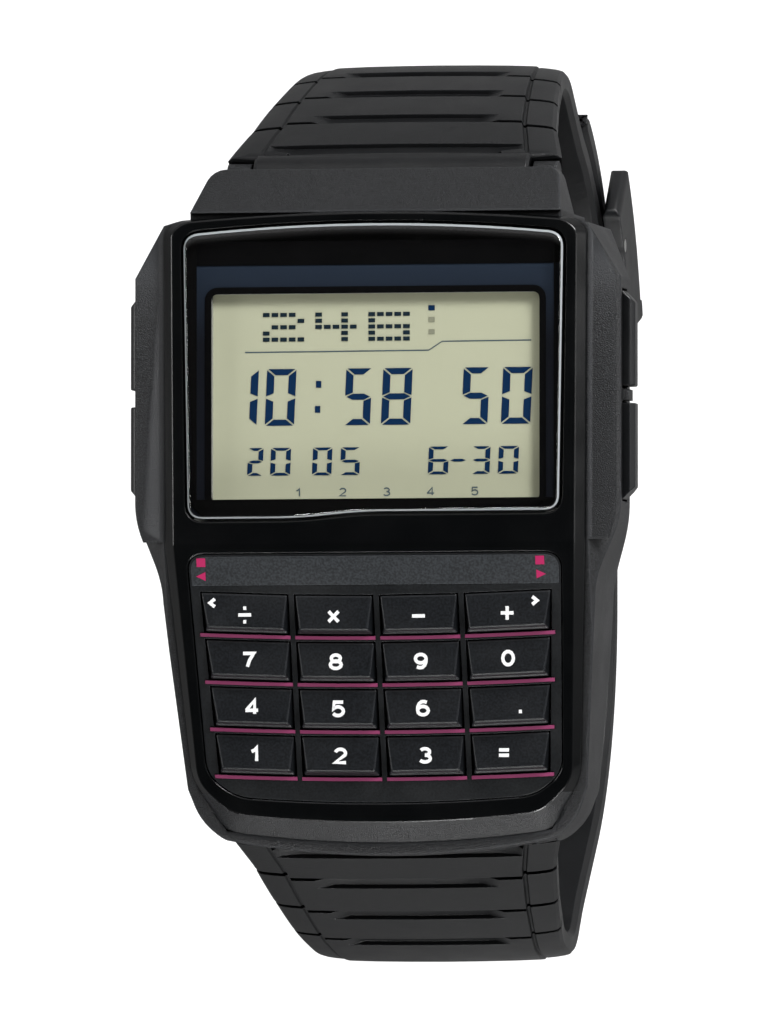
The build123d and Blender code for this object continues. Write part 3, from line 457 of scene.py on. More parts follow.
crystal_plan = outline([
    (-crystal_half_low, crystal_low_y, crystal_corner, 0), (crystal_step_start, crystal_low_y, 1.6, 0),
    (crystal_step_end, crystal_low_y + crystal_step, 1.6, 0),
    (crystal_half_low, crystal_low_y + crystal_step, crystal_corner, 0),
    (crystal_half_top, crystal_top_y, crystal_corner, crystal_bow),
    (-crystal_half_top, crystal_top_y, crystal_corner, 0)])
panel_plan = even_outline([
    (panel_toe_half, panel_toe_y, toe_corner, 0), (panel_half_low, panel_side_end, toe_corner, 0),
    (panel_half_top, panel_top_y, panel_corner, 0)], panel_bow)

low_half, low_toe_half = band_half_low + low_bevel_width, band_toe_half + low_bevel_width
rings = [frame_ring(band_half_low, band_toe_half, band_toe_y, band_toe_bow, 0, 0),
        frame_ring(low_half, low_toe_half, skirt_low_y, skirt_low_bow, bevel_width, bevel_drop),
        frame_ring(low_half, skirt_toe_half, skirt_toe_y, skirt_bow, bevel_width, skirt_drop)]
shape = bmesh.new()
loops = skin(shape, rings, caps=False)
for loop in (loops[0], loops[-1]):
    fold = [index for index, point in enumerate(rings[0]) if abs(point.y - fold_y * mm) < 0.01 * mm]
    shape.faces.new([loop[index] for index in range(fold[0], fold[1] + 1)])
    shape.faces.new([loop[index % len(loop)] for index in range(fold[1], fold[0] + len(loop) + 1)])
bezel = new_piece("bezel_frame", shape)
carve(bezel, slab("glass_opening", inset(crystal_plan, -seat_gap), on_flat, (-1, 4)),
      slab("panel_opening", inset(panel_plan, -seat_gap / 2), on_slope, (1, -4)))
# Satin resin, glossier than the case: a clean dark face whose bevels draw the light into lines.
bezel_resin = moulded_resin("satin_black_resin", "#08090A", 0.2, 0.15, 0.002, 0.1, 0.1)
dress(mould_radius(bezel, 0.1, angle=14), bezel_resin, "front_bezel", slot="bezel_resin")
# Its steep skirt at 6 o'clock is eroded like the case, into which it runs.
skirt_start_y, skirt_flatness = -19.5, 0.8
bezel.data.materials.append(case_resin)
for face in bezel.data.polygons:
    if face.normal.z < skirt_flatness and face.center.y < skirt_start_y * mm:
        face.material_index = 1


# The crystal: clear mineral glass, its edge ground round and its 12 o'clock end rolling down, which
# catches the light as a bright line. Its black and navy border is printed on the underside.
crystal_thickness, roll_start_y, roll_length = 1.1, 20.0, 2.0
window_half, window_top_y, window_low_y, window_corner = 12.3, 17.7, 2.27, 0.55
header_low_y, display_depth = 19.8, 1.9


def crystal_rings(*rings):
    """The crystal's plan drawn in, its 12 o'clock end moved down the dial by the roll, at each depth."""
    return [[on_flat(point.x, point.y - roll * min(max((point.y - roll_start_y) / roll_length, 0), 1), depth)
            for point in inset(crystal_plan, shrink)] for shrink, roll, depth in rings]


crystal = lofted("ground_crystal", crystal_rings(
    (0, 0, crystal_thickness), (0, 0, 0.36), (0.06, 0, 0.24), (0.16, 0.05, 0.13), (0.22, 0.3, 0.06),
    (0.28, 0.7, 0.02), (0.34, 1.3, 0)))


def surface_material(name, colour, roughness, **inputs):
    """A plain surface whose gloss varies a little, in faint clouds."""
    made, tree = material_tree(name)
    gloss = cloudy(tree, 2.5, 3.0, roughness * 0.9, roughness * 1.1)
    return coated(made, linear(colour), gloss, **inputs)


# Glass as a thin clear body: it mirrors by its angle and lets the display through undistorted.
crystal_glass, tree = material_tree("mineral_glass")
glass_index = 1.52
mirror = add_node(tree, "BsdfGlossy", white, cloudy(tree, 5.0, 2.0, 0.02, 0.06))
clear = add_node(tree, "BsdfTransparent", (0.98, 0.985, 0.98, 1))
coat = add_node(tree, "MixShader", add_node(tree, "Fresnel", glass_index), clear, mirror)
back = add_node(tree, "NewGeometry").outputs["Backfacing"]
inside = add_node(tree, "BsdfTransparent", white)
shown(crystal_glass, add_node(tree, "MixShader", back, coat, inside))
dress(crystal, crystal_glass, "crystal", slot="crystal_clear")

# The ground bevel of the glass, frosted and pale; its pale colour is partly a painted highlight, the bright line
# round the display.
ground_edge_highlight_rings = crystal_rings((0.05, 0, 0.235), (0.11, 0.02, 0.165), (0.17, 0.05, 0.115))
dress(lofted("crystal_ground_edge_and_highlight", ground_edge_highlight_rings, caps=False),
      surface_material("ground_glass_edge_and_painted_highlight", "#9DA2A5", 0.22))

window_plan = even_outline([(window_half, y, window_corner, 0) for y in (window_low_y, window_top_y)])
header_low_half, header_half, header_top_y = crystal_half_top - 0.15, crystal_half_top - 0.1, crystal_top_y - 0.1
header_plan = even_outline([(header_low_half, header_low_y, 0, 0), (header_half, header_top_y, 1.1, crystal_bow)])
# Black ink with hardly any mirror, so the header stays the darkest field under the glass.
black_print = surface_material("black_screen_print", "#040405", 0.5, Specular_IOR_Level=0.1)
# Navy ink with painted light and shade: near black beside the display and a lighter dark blue at 12 o'clock.
navy_print, tree = material_tree("navy_screen_print")
spot = add_node(tree, "SeparateXYZ", object_place(tree))
fade = mapped(tree, spot.outputs["Y"], 14 * mm, 20 * mm)
coated(navy_print, blend(tree, fade, linear("#0E1119"), linear("#222C3A")), 0.55, Specular_IOR_Level=0.15)
# Printed layers: name, plan, depth below the glass, thickness, opening and ink.
for name, plan, sink, thickness, hole, ink in (
        ("header_print", header_plan, 0.02, 0.04, None, black_print),
        ("border_print", inset(crystal_plan, 0.1), 0.08, 0.04, window_plan, navy_print),
        ("window_edge_print", inset(window_plan, -0.5), 0.05, 0.02, inset(window_plan, 0), black_print)):
    depth = crystal_thickness + sink
    sheet = slab(name, plan, on_flat, (depth, depth + thickness))
    if hole:
        carve(sheet, slab(name + "_opening", hole, on_flat, (depth - 1, depth + 2)))
    dress(sheet, ink)


# The display: a reflective liquid crystal cell with a pale green-grey backing. Its segments are
# switched dark, with mitred ends, and its upper field is a matrix of small cells.
display_level = display_depth - 0.02


def flat_shapes(name, polygons, depth):
    """One flat mesh of separate polygons at a depth, facing out of the dial."""
    shape = bmesh.new()
    for polygon in polygons:
        face = shape.faces.new([shape.verts.new(on_flat(x, y, depth)) for x, y in polygon])
        face.normal_update()
        if face.normal.z < 0:
            face.normal_flip()
    return loose_piece(name, shape)


digit_segments = {"0": "abcdef", "1": "bc", "2": "abged", "3": "abgcd", "4": "fgbc", "5": "afgcd", "6": "afgcde",
        "7": "abc", "8": "abcdefg", "9": "abfgcd", "-": "g"}


def segment(kind, width, height, post, beam, gap):
    """Corners of one of the seven bars of a digit, mitred at its ends."""
    half = height / 2
    right = [(width, height - gap), (width, half + gap), (width - post, half + beam / 2 + gap),
            (width - post, height - beam - gap)]
    top = [(gap, height), (width - gap, height), (width - post - gap, height - beam), (post + gap, height - beam)]
    bar = [(gap, half), (post, half + beam / 2), (width - post, half + beam / 2), (width - gap, half),
           (width - post, half - beam / 2), (post, half - beam / 2)]
    corners = {"a": top, "d": top, "g": bar}.get(kind, right)
    return [(width - x if kind in "ef" else x, height - y if kind in "cde" else y) for x, y in corners]


def digit(figure, left, low, width, height, post, beam, gap, slant=0.045):
    """The bars of a figure, leaning a little to the right."""
    return [[(left + x + y * slant, low + y) for x, y in segment(kind, width, height, post, beam, gap)]
            for kind in digit_segments[figure]]


def from_photo(x_pixel, y_pixel, depth):
    """Place on the dial, in millimetres, of a point seen in the photograph at a depth."""
    lean = 0.047
    x = ((x_pixel - dial_pixel_x) / pixels_per_mm - sin(view_turn) * depth) / cos(view_turn)
    return x, (dial_pixel_y - y_pixel) / pixels_per_mm + lean * depth


# Rows of figures: pixel row of their feet, height, post, beam and gap, then figure, pixel and width each.
digit_rows = (
    (424.7, 4.19, 0.56, 0.45, 0.085, (("1", 227, 2.2), ("0", 264.7, 2.2), ("5", 344, 1.95), ("8", 381, 2.2),
                                     ("5", 461.5, 1.95), ("0", 501, 2.2))),
    (474.6, 2.04, 0.36, 0.2, 0.07, (("2", 247, 1.15), ("0", 270, 1.5), ("0", 312, 1.45), ("5", 340, 1.45),
                                   ("6", 428, 1.5), ("-", 449, 1.3), ("3", 471.5, 1.35), ("0", 498, 1.5))))
bars = []
for foot_pixel, height, post, beam, gap, figures in digit_rows:
    for figure, x_pixel, width in figures:
        left, low = from_photo(x_pixel, foot_pixel, display_depth)
        bars += digit(figure, left, low, width, height, post, beam, gap)
colon_width, colon_height = 0.4, 0.5
for x_pixel, y_pixel in ((316, 387), (315, 412)):
    x, y = from_photo(x_pixel, y_pixel, display_depth)
    bars.append([(x, y), (x + colon_width, y), (x + colon_width, y + colon_height), (x, y + colon_height)])
# Switched crystal is a flat blue-black without gloss, as it lies under glass.
display_ink = surface_material("switched_liquid_crystal", "#0B2A4D", 0.5, Specular_IOR_Level=0.1)
dress(flat_shapes("display_digits", bars, display_level - 0.03), display_ink)

# The reflector behind the crystal: an even, pale grey-green.
display_backing = surface_material("liquid_crystal_backing", "#BBBCA2", 0.6)
dress(flat_shapes("display_field", [inset(window_plan, -0.3)], display_level), display_backing,
      slot="display_glass")

rule = [from_photo(*pixel, display_depth) for pixel in ((244.8, 351), (429, 350.3), (442.2, 341.5), (531.4, 341))]
line_half = 0.045
upper_line = [(x, y + line_half) for x, y in rule]
lower_line = [(x, y - line_half) for x, y in rule[::-1]]
# Fine print of the display, greyer than the segments.
pale_ink = surface_material("pale_display_ink", "#4A5A63", 0.5)
dress(flat_shapes("display_rule", [upper_line + lower_line], display_level - 0.02), pale_ink)


def repeater(name, piece_size, material):
    """Geometry nodes that set one small plate on every point, with its size as named inputs."""
    group = bpy.data.node_groups.new(name, "GeometryNodeTree")
    group.interface.new_socket("Geometry", in_out="INPUT", socket_type="NodeSocketGeometry")
    axes = "Width", "Length", "Height"
    for axis, size in zip(axes, piece_size):
        group.interface.new_socket(axis, in_out="INPUT", socket_type="NodeSocketFloat").default_value = size * mm
    group.interface.new_socket("Geometry", in_out="OUTPUT", socket_type="NodeSocketGeometry")
    start = add_node(group, "NodeGroupInput")
    size = add_node(group, "CombineXYZ", *[start.outputs[axis] for axis in axes])
    plate = add_node(group, "GeometryNodeMeshCube", size)
    plates = add_node(group, "GeometryNodeInstanceOnPoints", {"Points": start, "Instance": plate})
    real = add_node(group, "GeometryNodeRealizeInstances", plates)
    named = add_node(group, "GeometryNodeSetMaterial", {"Geometry": real, "Material": material})
    add_node(group, "NodeGroupOutput", named)
    return group


def repeated(name, points, piece_size, material):
    """A piece made of the same small plate at each point."""
    mesh = bpy.data.meshes.new(name)
    mesh.from_pydata(points, [], [])
    piece = placed(name, mesh)
    piece.modifiers.new("repeat", "NODES").node_group = repeater(name + "_repeat", piece_size, material)
    return applied(piece)


# The matrix shows generic figures, five cells wide and five high.
figure_cells = {"2": "11110 00001 01110 10000 11111", "4": "10010 10010 11111 00010 00010",
        "6": "11111 10000 11111 10001 11111"}
cell_pitch_x, cell_pitch_y, cell_size, mark_size = 0.65, 0.457, (0.5, 0.3, 0.01), (0.48, 0.39, 0.01)
cells = []
for figure, x_pixel in (("2", 266.2), ("4", 318.7), ("6", 371.9)):
    left, top = from_photo(x_pixel, 313.6, display_depth)
    for row, line in enumerate(figure_cells[figure].split()):
        cells += [on_flat(left + column * cell_pitch_x, top - row * cell_pitch_y, display_level - 0.03)
                for column, lit in enumerate(line) if lit == "1"]
# Small switched cells look thinner and greyer than the bars. Those that are off leave a faint shadow.
cell_ink = surface_material("switched_matrix_cell", "#1A2933", 0.5, Specular_IOR_Level=0.1)
faint_ink = surface_material("unswitched_mark", "#8B8C78", 0.5)
dress(repeated("display_matrix", cells, cell_size, cell_ink), cell_ink)
squares = [on_flat(*from_photo(431.7, y_pixel, display_depth), display_level - 0.02)
        for y_pixel in (307.9, 319.6, 331.9)]
dress(repeated("display_squares", squares[:1], mark_size, display_ink), display_ink)
dress(repeated("display_faint_squares", squares[1:], mark_size, faint_ink), faint_ink)


# Keypad panel: a printed resin plate on the slope with a lighter band below the crossbar, openings for
# the keys and a pink line under each. Its print is rubbed a little glossier than the moulded case.
panel_sink, panel_thickness = 0.1, 0.9
first_key_y, key_pitch, key_length, key_rise = -3.62, 3.58, 2.93, 0.8
key_inner_start, key_inner_width, key_column_gap, key_outer_top, key_outer_step = 0.3, 5.77, 0.59, 13.1, 0.055
row_bow, key_draft, key_gap = 0.35, 0.42, 0.1
key_places = [(row, column) for row in range(4) for column in range(4)]


def row_sag(x):
    """How far a row of keys lies below a straight line, as it bows towards 6 o'clock."""
    return -row_bow * (1 - (x / key_outer_top) ** 2)


def key_sides(column, along):
    """Left and right x of a key at a place along the slope."""
    rank = abs(column - 1.5) - 0.5
    near = key_inner_start + rank * (key_inner_width + key_column_gap)
    far = near + key_inner_width if rank == 0 else key_outer_top - key_outer_step * (first_key_y - along)
    return (near, far) if column > 1 else (-far, -near)


def key_foot(row, column, grow):
    """Four-sided plan of a key along the slope, anticlockwise."""
    upper = first_key_y - row * key_pitch
    lower = upper - key_length
    (left, right), (low_left, low_right) = key_sides(column, upper), key_sides(column, lower)
    return [(low_left - grow, lower + row_sag(low_left) - grow),
            (low_right + grow, lower + row_sag(low_right) - grow),
            (right + grow, upper + row_sag(right) + grow), (left - grow, upper + row_sag(left) + grow)]


panel = slab("printed_panel", panel_plan, on_slope, (-panel_sink, -panel_sink - panel_thickness))
carve(panel, lofted("key_openings", *[[[on_slope(x, y, up) for x, y in key_foot(row, column, key_gap)]
        for up in (1, -3)] for row, column in key_places]))
# Printed resin, dark and speckled between the keys, and its band a grey that parts keypad and crossbar.
panel_ink = moulded_resin("printed_panel_face", "#141618", 0.42, 0.16, 0.006, 0.4)
band_ink = moulded_resin("printed_grey_band", "#2B2E31", 0.5, 0.16, 0.006, 0.45)
dress(panel, panel_ink, "key_panel", slot="panel_print")

band_low, band_low_half, band_rim, band_film = -3.1, 13.75, 0.15, 0.02
band_half, band_top = panel_half_top - band_rim, panel_top_y - band_rim
band_plan = even_outline([(band_low_half, band_low, 0, 0), (band_half, band_top, 1.2, 0)])
dress(slab("panel_band", band_plan, on_slope, (-panel_sink, band_film - panel_sink)), band_ink)

line_width, line_rise, line_reach, line_end = 0.26, 0.07, 0.12, 0.25
shape = bmesh.new()
for row, column in key_places:
    (left, left_y), (right, right_y), _, _ = key_foot(row, column, line_reach)
    left -= line_end if column == 0 else 0
    right += line_end if column == 3 else 0
    line = ((left, left_y), ((left + right) / 2, (left_y + right_y) / 2 - 0.02), (right, right_y))
    rows = [[on_slope(x, y - down, up - panel_sink) for x, y in line]
            for down, up in ((line_width, 0), (line_width, line_rise), (0, line_rise), (0, 0))]
    for low, high in zip(rows, rows[1:]):
        low, high = ([shape.verts.new(point) for point in points] for points in (low, high))
        for index in (0, 1):
            shape.faces.new((low[index], low[index + 1], high[index + 1], high[index]))
# Pink ink, raised like thick screen print, so each key stands on a thin bright line.
dress(new_piece("key_underlines", shape), surface_material("pink_screen_print", "#8E3A63", 0.45))

mark_half, mark_drop, arrow_tip, arrow_back, arrow_half = 0.33, 1.05, 0.42, 0.3, 0.34
marks = []
mark_pixel_row, mark_depth = 562, 1.3
for side, x_pixel in ((-1, 202), (1, 541)):
    x, y = from_photo(x_pixel, mark_pixel_row, mark_depth)
    along = (y - fold_y) / cos(keypad_slope)
    marks.append([(x + right * mark_half, along + up * mark_half) for right, up in square])
    low, back = along - mark_drop, x - side * arrow_back
    marks.append([(x + side * arrow_tip, low), (back, low + arrow_half), (back, low - arrow_half)])


def slope_shapes(name, polygons, up):
    """One flat mesh of separate polygons on the keypad's slope."""
    piece = flat_shapes(name, polygons, 0)
    for vertex in piece.data.vertices:
        vertex.co = on_slope(vertex.co.x / mm, vertex.co.y / mm, up - panel_sink)
    return piece


# Stronger magenta ink for the small square and arrow at each end of the band.
dress(slope_shapes("panel_marks", marks, 0.03), surface_material("magenta_screen_print", "#B4205C", 0.45))


# Keys: sixteen wedges of black resin, flush at their upper edge and raised towards 6 o'clock, with a
# stepped front. Their white figures are pad printed, and each key rides on its own body.
# Key resin is finer than the case's, and its printed figures are matte white.
key_resin = moulded_resin("smooth_black_key_resin", "#15171A", 0.38, 0.16, 0.006, 0.45, 0.16)
legend_ink = surface_material("white_pad_print", "#F4F5F5", 0.5)
front_steps = ((0.552, 0.649), (0.36, 0.5), (0.30, 0.30), (0.10, 0.24), (0, 0))
legend_rows = ("/x-+", "7890", "456.", "123=")


def key_cap(row, column):
    """One key: its side profile, flush edge to stepped front, drawn in at both sides."""
    upper = first_key_y - row * key_pitch
    lower = upper - key_length
    profile = [(upper, -0.5), (upper, 0)] + [(lower + run, rise) for run, rise in front_steps] + [(lower, -0.5)]
    sides = []
    for hand in (0, 1):
        line = []
        for along, rise in profile:
            x = key_sides(column, along)[hand] + (1 - 2 * hand) * key_draft * max(rise, 0) / key_rise
            line.append(on_slope(x, along + row_sag(x), rise - panel_sink))
        sides.append(line)
    return mould_radius(lofted("key_cap_%d%d" % (row + 1, column + 1), sides), 0.12, angle=20)


def arc(x, y, half_width, half_height, start, end, steps=14):
    """Points on part of an ellipse, from one angle to another."""
    turns = [radians(start + (end - start) * step / steps) for step in range(steps + 1)]
    return [(x + half_width * cos(turn), y + half_height * sin(turn)) for turn in turns]


# Bold wide figures as strokes in a cell one unit high and about one unit wide.
hook = [(0.3, 0.93), (0.1, 1.0), (-0.12, 0.98), (-0.3, 0.84), (-0.41, 0.6), (-0.42, 0.3)]
strokes = {
    "0": [arc(0, 0.5, 0.42, 0.5, 0, 360)], "1": [[(-0.32, 0.72), (-0.1, 0.8), (0.08, 1.0), (0.08, 0)]],
    "2": [arc(0, 0.7, 0.4, 0.3, 165, -35) + [(-0.42, 0), (0.44, 0)]],
    "3": [arc(-0.03, 0.75, 0.37, 0.25, 150, -90), arc(-0.03, 0.26, 0.43, 0.26, 90, -150)],
    "4": [[(0.2, 0), (0.2, 1.0), (-0.46, 0.27)], [(-0.52, 0.27), (0.48, 0.27)]],
    "5": [[(0.4, 1.0), (-0.3, 1.0), (-0.37, 0.5)] + arc(-0.01, 0.32, 0.43, 0.33, 140, -150)],
    "6": [arc(0, 0.32, 0.42, 0.32, 0, 360), hook], "7": [[(-0.42, 1.0), (0.42, 1.0), (0.1, 0.5), (-0.08, 0)]],
    "8": [arc(0, 0.75, 0.36, 0.25, 0, 360), arc(0, 0.27, 0.43, 0.28, 0, 360)],
    "9": [arc(0, 0.68, 0.42, 0.32, 0, 360), [(-x, 1 - y) for x, y in hook]],
    "+": [[(-0.42, 0.5), (0.42, 0.5)], [(0, 0.08), (0, 0.92)]], "-": [[(-0.42, 0.5), (0.42, 0.5)]],
    "x": [[(-0.32, 0.18), (0.32, 0.82)], [(-0.32, 0.82), (0.32, 0.18)]],
    "=": [[(-0.4, 0.3), (0.4, 0.3)], [(-0.4, 0.7), (0.4, 0.7)]],
    "/": [[(-0.42, 0.5), (0.42, 0.5)], [(-0.1, 0.92), (0.1, 0.92)], [(-0.1, 0.08), (0.1, 0.08)]],
    ".": [[(-0.12, 0), (0.12, 0)]], "<": [[(0.2, 0.85), (-0.25, 0.5), (0.2, 0.15)]],
    ">": [[(-0.2, 0.85), (0.25, 0.5), (-0.2, 0.15)]]}


def stroke_faces(shape, line, weight, to_world):
    """A band of even weight along the points of a stroke."""
    points = [Vector(point) for point in line]
    closed = (points[0] - points[-1]).length < 0.01
    first = points[-2] if closed else points[0] * 2 - points[1]
    last = points[1] if closed else points[-1] * 2 - points[-2]
    sides = []
    for before, point, after in zip([first, *points], points, points[1:] + [last]):
        into, out = (point - before).normalized(), (after - point).normalized()
        way = (into + out).normalized()
        reach = weight / 2 / max(way.dot(into), 0.5)
        aside = Vector((-way.y, way.x)) * reach
        sides.append([shape.verts.new(to_world(*spot)) for spot in (point + aside, point - aside)])
    for low, high in zip(sides, sides[1:]):
        shape.faces.new((low[1], high[1], high[0], low[0]))


def lettering(name, places, weight, to_world):
    """Flat printed figures from places (figure, x, y, height), mapped to the part."""
    layer_lift = Vector((0, 0, 0.004 * mm))
    shape = bmesh.new()
    for figure, x, y, height in places:
        for layer, line in enumerate(strokes[figure]):
            stroke_faces(shape, line, weight / height, lambda right, up: to_world(
                x + right * height, y + (up - 0.5) * height) + layer_lift * layer)
    return loose_piece(name, shape)


legend_weight, legend_lift, legend_height, sign_height, angle_height = 0.25, 0.012, 0.95, 1.15, 0.8
sign_place, digit_place, point_aside, equals_aside = 0.5, 0.45, 0.85, -0.45
angle_reach, angle_step, angle_up = 2.4, 0.12, 0.88
for row, column in key_places:
    body_name = "key_%d%d" % (row + 1, column + 1)
    dress(key_cap(row, column), key_resin, body_name, body=body_name, slot="key_resin")
    upper = first_key_y - row * key_pitch
    left, right = key_sides(column, upper - 1.5)
    middle = (left + right) / 2 + (point_aside if (row, column) == (2, 3) else 0)
    share = digit_place if row else sign_place

    def on_key(x, y):
        """Place on the wedge's face, from the middle of the figure."""
        along = upper + row_sag(middle) - key_length * share + y
        rise = key_rise * (upper + row_sag(middle + x) - along) / key_length
        return on_slope(middle + x, along, rise - panel_sink + legend_lift)

    figures = [(legend_rows[row][column], equals_aside if (row, column) == (3, 3) else 0, 0,
            legend_height if row else sign_height)]
    if row == 0 and column in (0, 3):
        aside = (angle_reach - column * angle_step) * (1 if column else -1)
        figures.append(("<>"[column // 3], aside, angle_up, angle_height))
    dress(lettering("legend_%d%d" % (row + 1, column + 1), figures, legend_weight, on_key), legend_ink,
          body=body_name)


# Side buttons: two resin pushers on each side with chamfered ends, softened at the edges.
# The same resin from a polished cavity, so thumbs and lamps leave a clearer sheen.
button_resin = moulded_resin("black_button_resin", "#141517", 0.34, 0.12, 0.003, 0.2, 0.15)
for side in ("left", "right"):
    for place in ("upper", "lower"):
        node = "button_%s_%s" % (side, place)
        dress(mould_radius(cad_copy(node), 0.12), button_resin, node, body=node, slot="button_resin")


# Strap: two halves of soft black resin, moulded with links. Each link has a raised middle, a lower strip
# at each side, a groove between it and the next and a scooped edge away from the case.
strap_thickness, knuckle_radius, loop_radius, soft_gap = 2.2, 1.8, 24.5, 0.3
# Depth below the dial and half width of the strap, which narrows towards the buckle.
strap_widths = (9.0, 12.6), (13.5, 11.4), (19.5, 10.55), (27.0, 9.7), (39.0, 9.2)
buckle_turn, tongue_half, tongue_end, knuckle_end, knuckle_chamfer = 34.5, 10.35, 1.35, 1.6, 0.2
upper_lug, upper_heading, lower_lug, lower_heading = (26.6, 9.2), 57.0, (-21.0, 10.2), 118.0
tucked_radius, tuck_radius = loop_radius - strap_thickness - soft_gap, 10.0
tuck_turn = degrees(acos((tucked_radius - tuck_radius) / (loop_radius - tuck_radius)))
tuck_run = (loop_radius - tuck_radius) * sin(radians(tuck_turn))
# Each run of the strap's curve is (radius, turn in degrees), or (0, length) where it is straight.
upper_runs = [(62.0, 15.0), (loop_radius, 10.4), (tuck_radius, tuck_turn), (0, tuck_run),
        (tucked_radius, 180 - buckle_turn - upper_heading - 15.0 - 10.4 - tuck_turn)]
leg_runs = [(0, 6.0), (65.0, 8.7), (loop_radius, 19.3), (8.0, 38.0)]
sole_radius, sole_turn, tail_turn = 24.0, lower_heading - 8.7 - 19.3 - 38.0, 61.5


def run_length(runs):
    """Length along the outer face of a list of runs."""
    return sum(amount if radius == 0 else radius * radians(amount) for radius, amount in runs)


def path_point(lug, heading, runs, side, travel):
    """Y, depth and outward heading of the strap's outer face, at a distance from its lug."""
    y = lug[0] + side * knuckle_radius * sin(radians(heading))
    depth = lug[1] - knuckle_radius * cos(radians(heading)) * side
    for radius, amount in runs:
        step = min(travel, run_length([(radius, amount)]))
        turn = 0 if radius == 0 else degrees(step / radius) * side
        chord = step if radius == 0 else 2 * radius * sin(radians(abs(turn)) / 2)
        y += chord * cos(radians(heading + turn / 2))
        depth += chord * sin(radians(heading + turn / 2))
        heading += turn
        travel -= step
        if travel <= 0:
            break
    outward = Vector((sin(radians(heading)), -cos(radians(heading)))) * side
    return Vector((y, depth)), outward


bend_end, bend_outward = path_point(upper_lug, upper_heading, upper_runs[:1], 1, run_length(upper_runs[:1]))
loop_centre = bend_end - bend_outward * loop_radius
base_depth = loop_centre.y + loop_radius
knee_end, _ = path_point(lower_lug, lower_heading, leg_runs, -1, run_length(leg_runs))
shin_run = (base_depth - knee_end.y - sole_radius * (1 - cos(radians(sole_turn)))) / sin(radians(sole_turn))
base_run = loop_centre.x - knee_end.x - shin_run * cos(radians(sole_turn)) - sole_radius * sin(radians(sole_turn))
lower_runs = leg_runs + [(0, shin_run), (sole_radius, sole_turn), (0, base_run), (loop_radius, tail_turn)]


def strap_half(depth):
    """Half the strap's width at a depth below the dial."""
    for (start, wide), (end, narrow) in zip(strap_widths, strap_widths[1:]):
        if depth < end:
            return wide + (narrow - wide) * (max(depth - start, 0) / (end - start))
    return strap_widths[-1][1]


# Places across the strap, as shares of its half width, with how far each lies below the crown.
strap_columns = ((0.0, 0.0), (0.3, 0.02), (0.5, 0.05), (0.56, 0.06), (0.62, 0.08), (0.74, 0.12), (0.775, 0.14),
        (0.785, 0.36), (0.80, 0.36), (0.81, 0.26), (0.88, 0.33), (0.94, 0.42), (0.975, 0.52), (1.0, 0.78))
groove_half, groove_depth, scoop_width, scoop_depth, strip_shift = 0.2, 0.62, 1.25, 0.56, 0.45
strip_start, first_scoop_reach, scoop_reach, scoop_rise, relief_end, rim_rise = 0.775, 0.77, 0.58, 0.25, 3, 0.35


def relief(travel, share, grooves):
    """Depth below the link's face at a place along and across the strap."""
    deepest = 0
    for index, groove in enumerate(grooves):
        reach = first_scoop_reach if index == 0 else scoop_reach
        ahead = travel - groove
        if abs(ahead) <= groove_half:
            deepest = max(deepest, groove_depth)
        elif groove_half < ahead < scoop_width and share < reach:
            edge = min(1, (reach - share) / 0.05)
            deepest = max(deepest, edge * (scoop_depth - scoop_rise * (ahead - groove_half) / scoop_width))
    return deepest


def strap_rows(grooves, length):
    """Places along the strap for its mesh, closer at the edges of each groove."""
    rows = [0.0]
    while rows[-1] < length - 1.1:
        rows.append(rows[-1] + (0.5 if rows[-1] < grooves[-1] + 2 else 1.0))
    for groove in grooves:
        rows += [groove + offset for offset in (-0.36, -0.22, -0.19, 0.19, 0.22)]
        rows += [groove + scoop_width + offset for offset in (-0.02, 0.02, 0.2)]
    return sorted(row for row in set(rows) if 0 <= row <= length)


def strap_mesh(name, lug, heading, runs, side, grooves):
    """Half of the strap: rings along its curve, a rounded end and a knuckle round the lug's bar."""
    length = run_length(runs)
    stations = [(row, strap_thickness) for row in strap_rows(grooves, length)]
    end_radius = strap_thickness / 2
    stations += [(length + end_radius * sin(radians(turn)), strap_thickness * cos(radians(turn)))
            for turn in (15, 30, 45, 60, 75, 86)]
    rings = []
    for travel, thickness in stations:
        over = max(0, travel - length)

        def ring_point(share, reached, sunk):
            """A point at a share of the half width, sunk below the outer face."""
            spot, outward = path_point(lug, heading, runs, side, reached)
            forward = Vector((-outward.y, outward.x)) * side
            half = strap_half(spot.y)
            place = spot - outward * sunk + forward * over
            return on_flat(share * (min(half, tongue_half) if travel < tongue_end else half), place.x, place.y)

        top = []
        fade = min(1, max(0, (length - travel) / 6)) if side > 0 else 1
        linked = travel < grooves[-1] + relief_end
        for hand in (1, -1):
            for share, fall in strap_columns if hand > 0 else strap_columns[:0:-1]:
                shift = strip_shift if share > strip_start and linked and travel > 0.5 else 0
                sunk = (strap_thickness - thickness) / 2 + fall * fade
                sunk += relief(travel, share, grooves) if linked else 0
                top.append(ring_point(hand * share, min(max(travel - shift, 0), length), sunk))
        below = (strap_thickness + thickness) / 2
        under = [ring_point(share, min(travel, length), below - (rim_rise if abs(share) == 1.0 else 0))
                for share in (1.0, 0.96, 0.5, 0.0, -0.5, -0.96, -1.0)]
        rings.append(top[len(strap_columns):] + top[:len(strap_columns)] + under)
    tube = [[on_flat(x, *spot) for spot in arc(*lug, radius, radius, 0, 348, 29)]
            for x, radius in ((-tongue_half, knuckle_end), (knuckle_chamfer - tongue_half, knuckle_radius),
                              (tongue_half - knuckle_chamfer, knuckle_radius), (tongue_half, knuckle_end))]
    return carve(lofted(name, rings), lofted(name + "_knuckle", tube), operation="UNION")


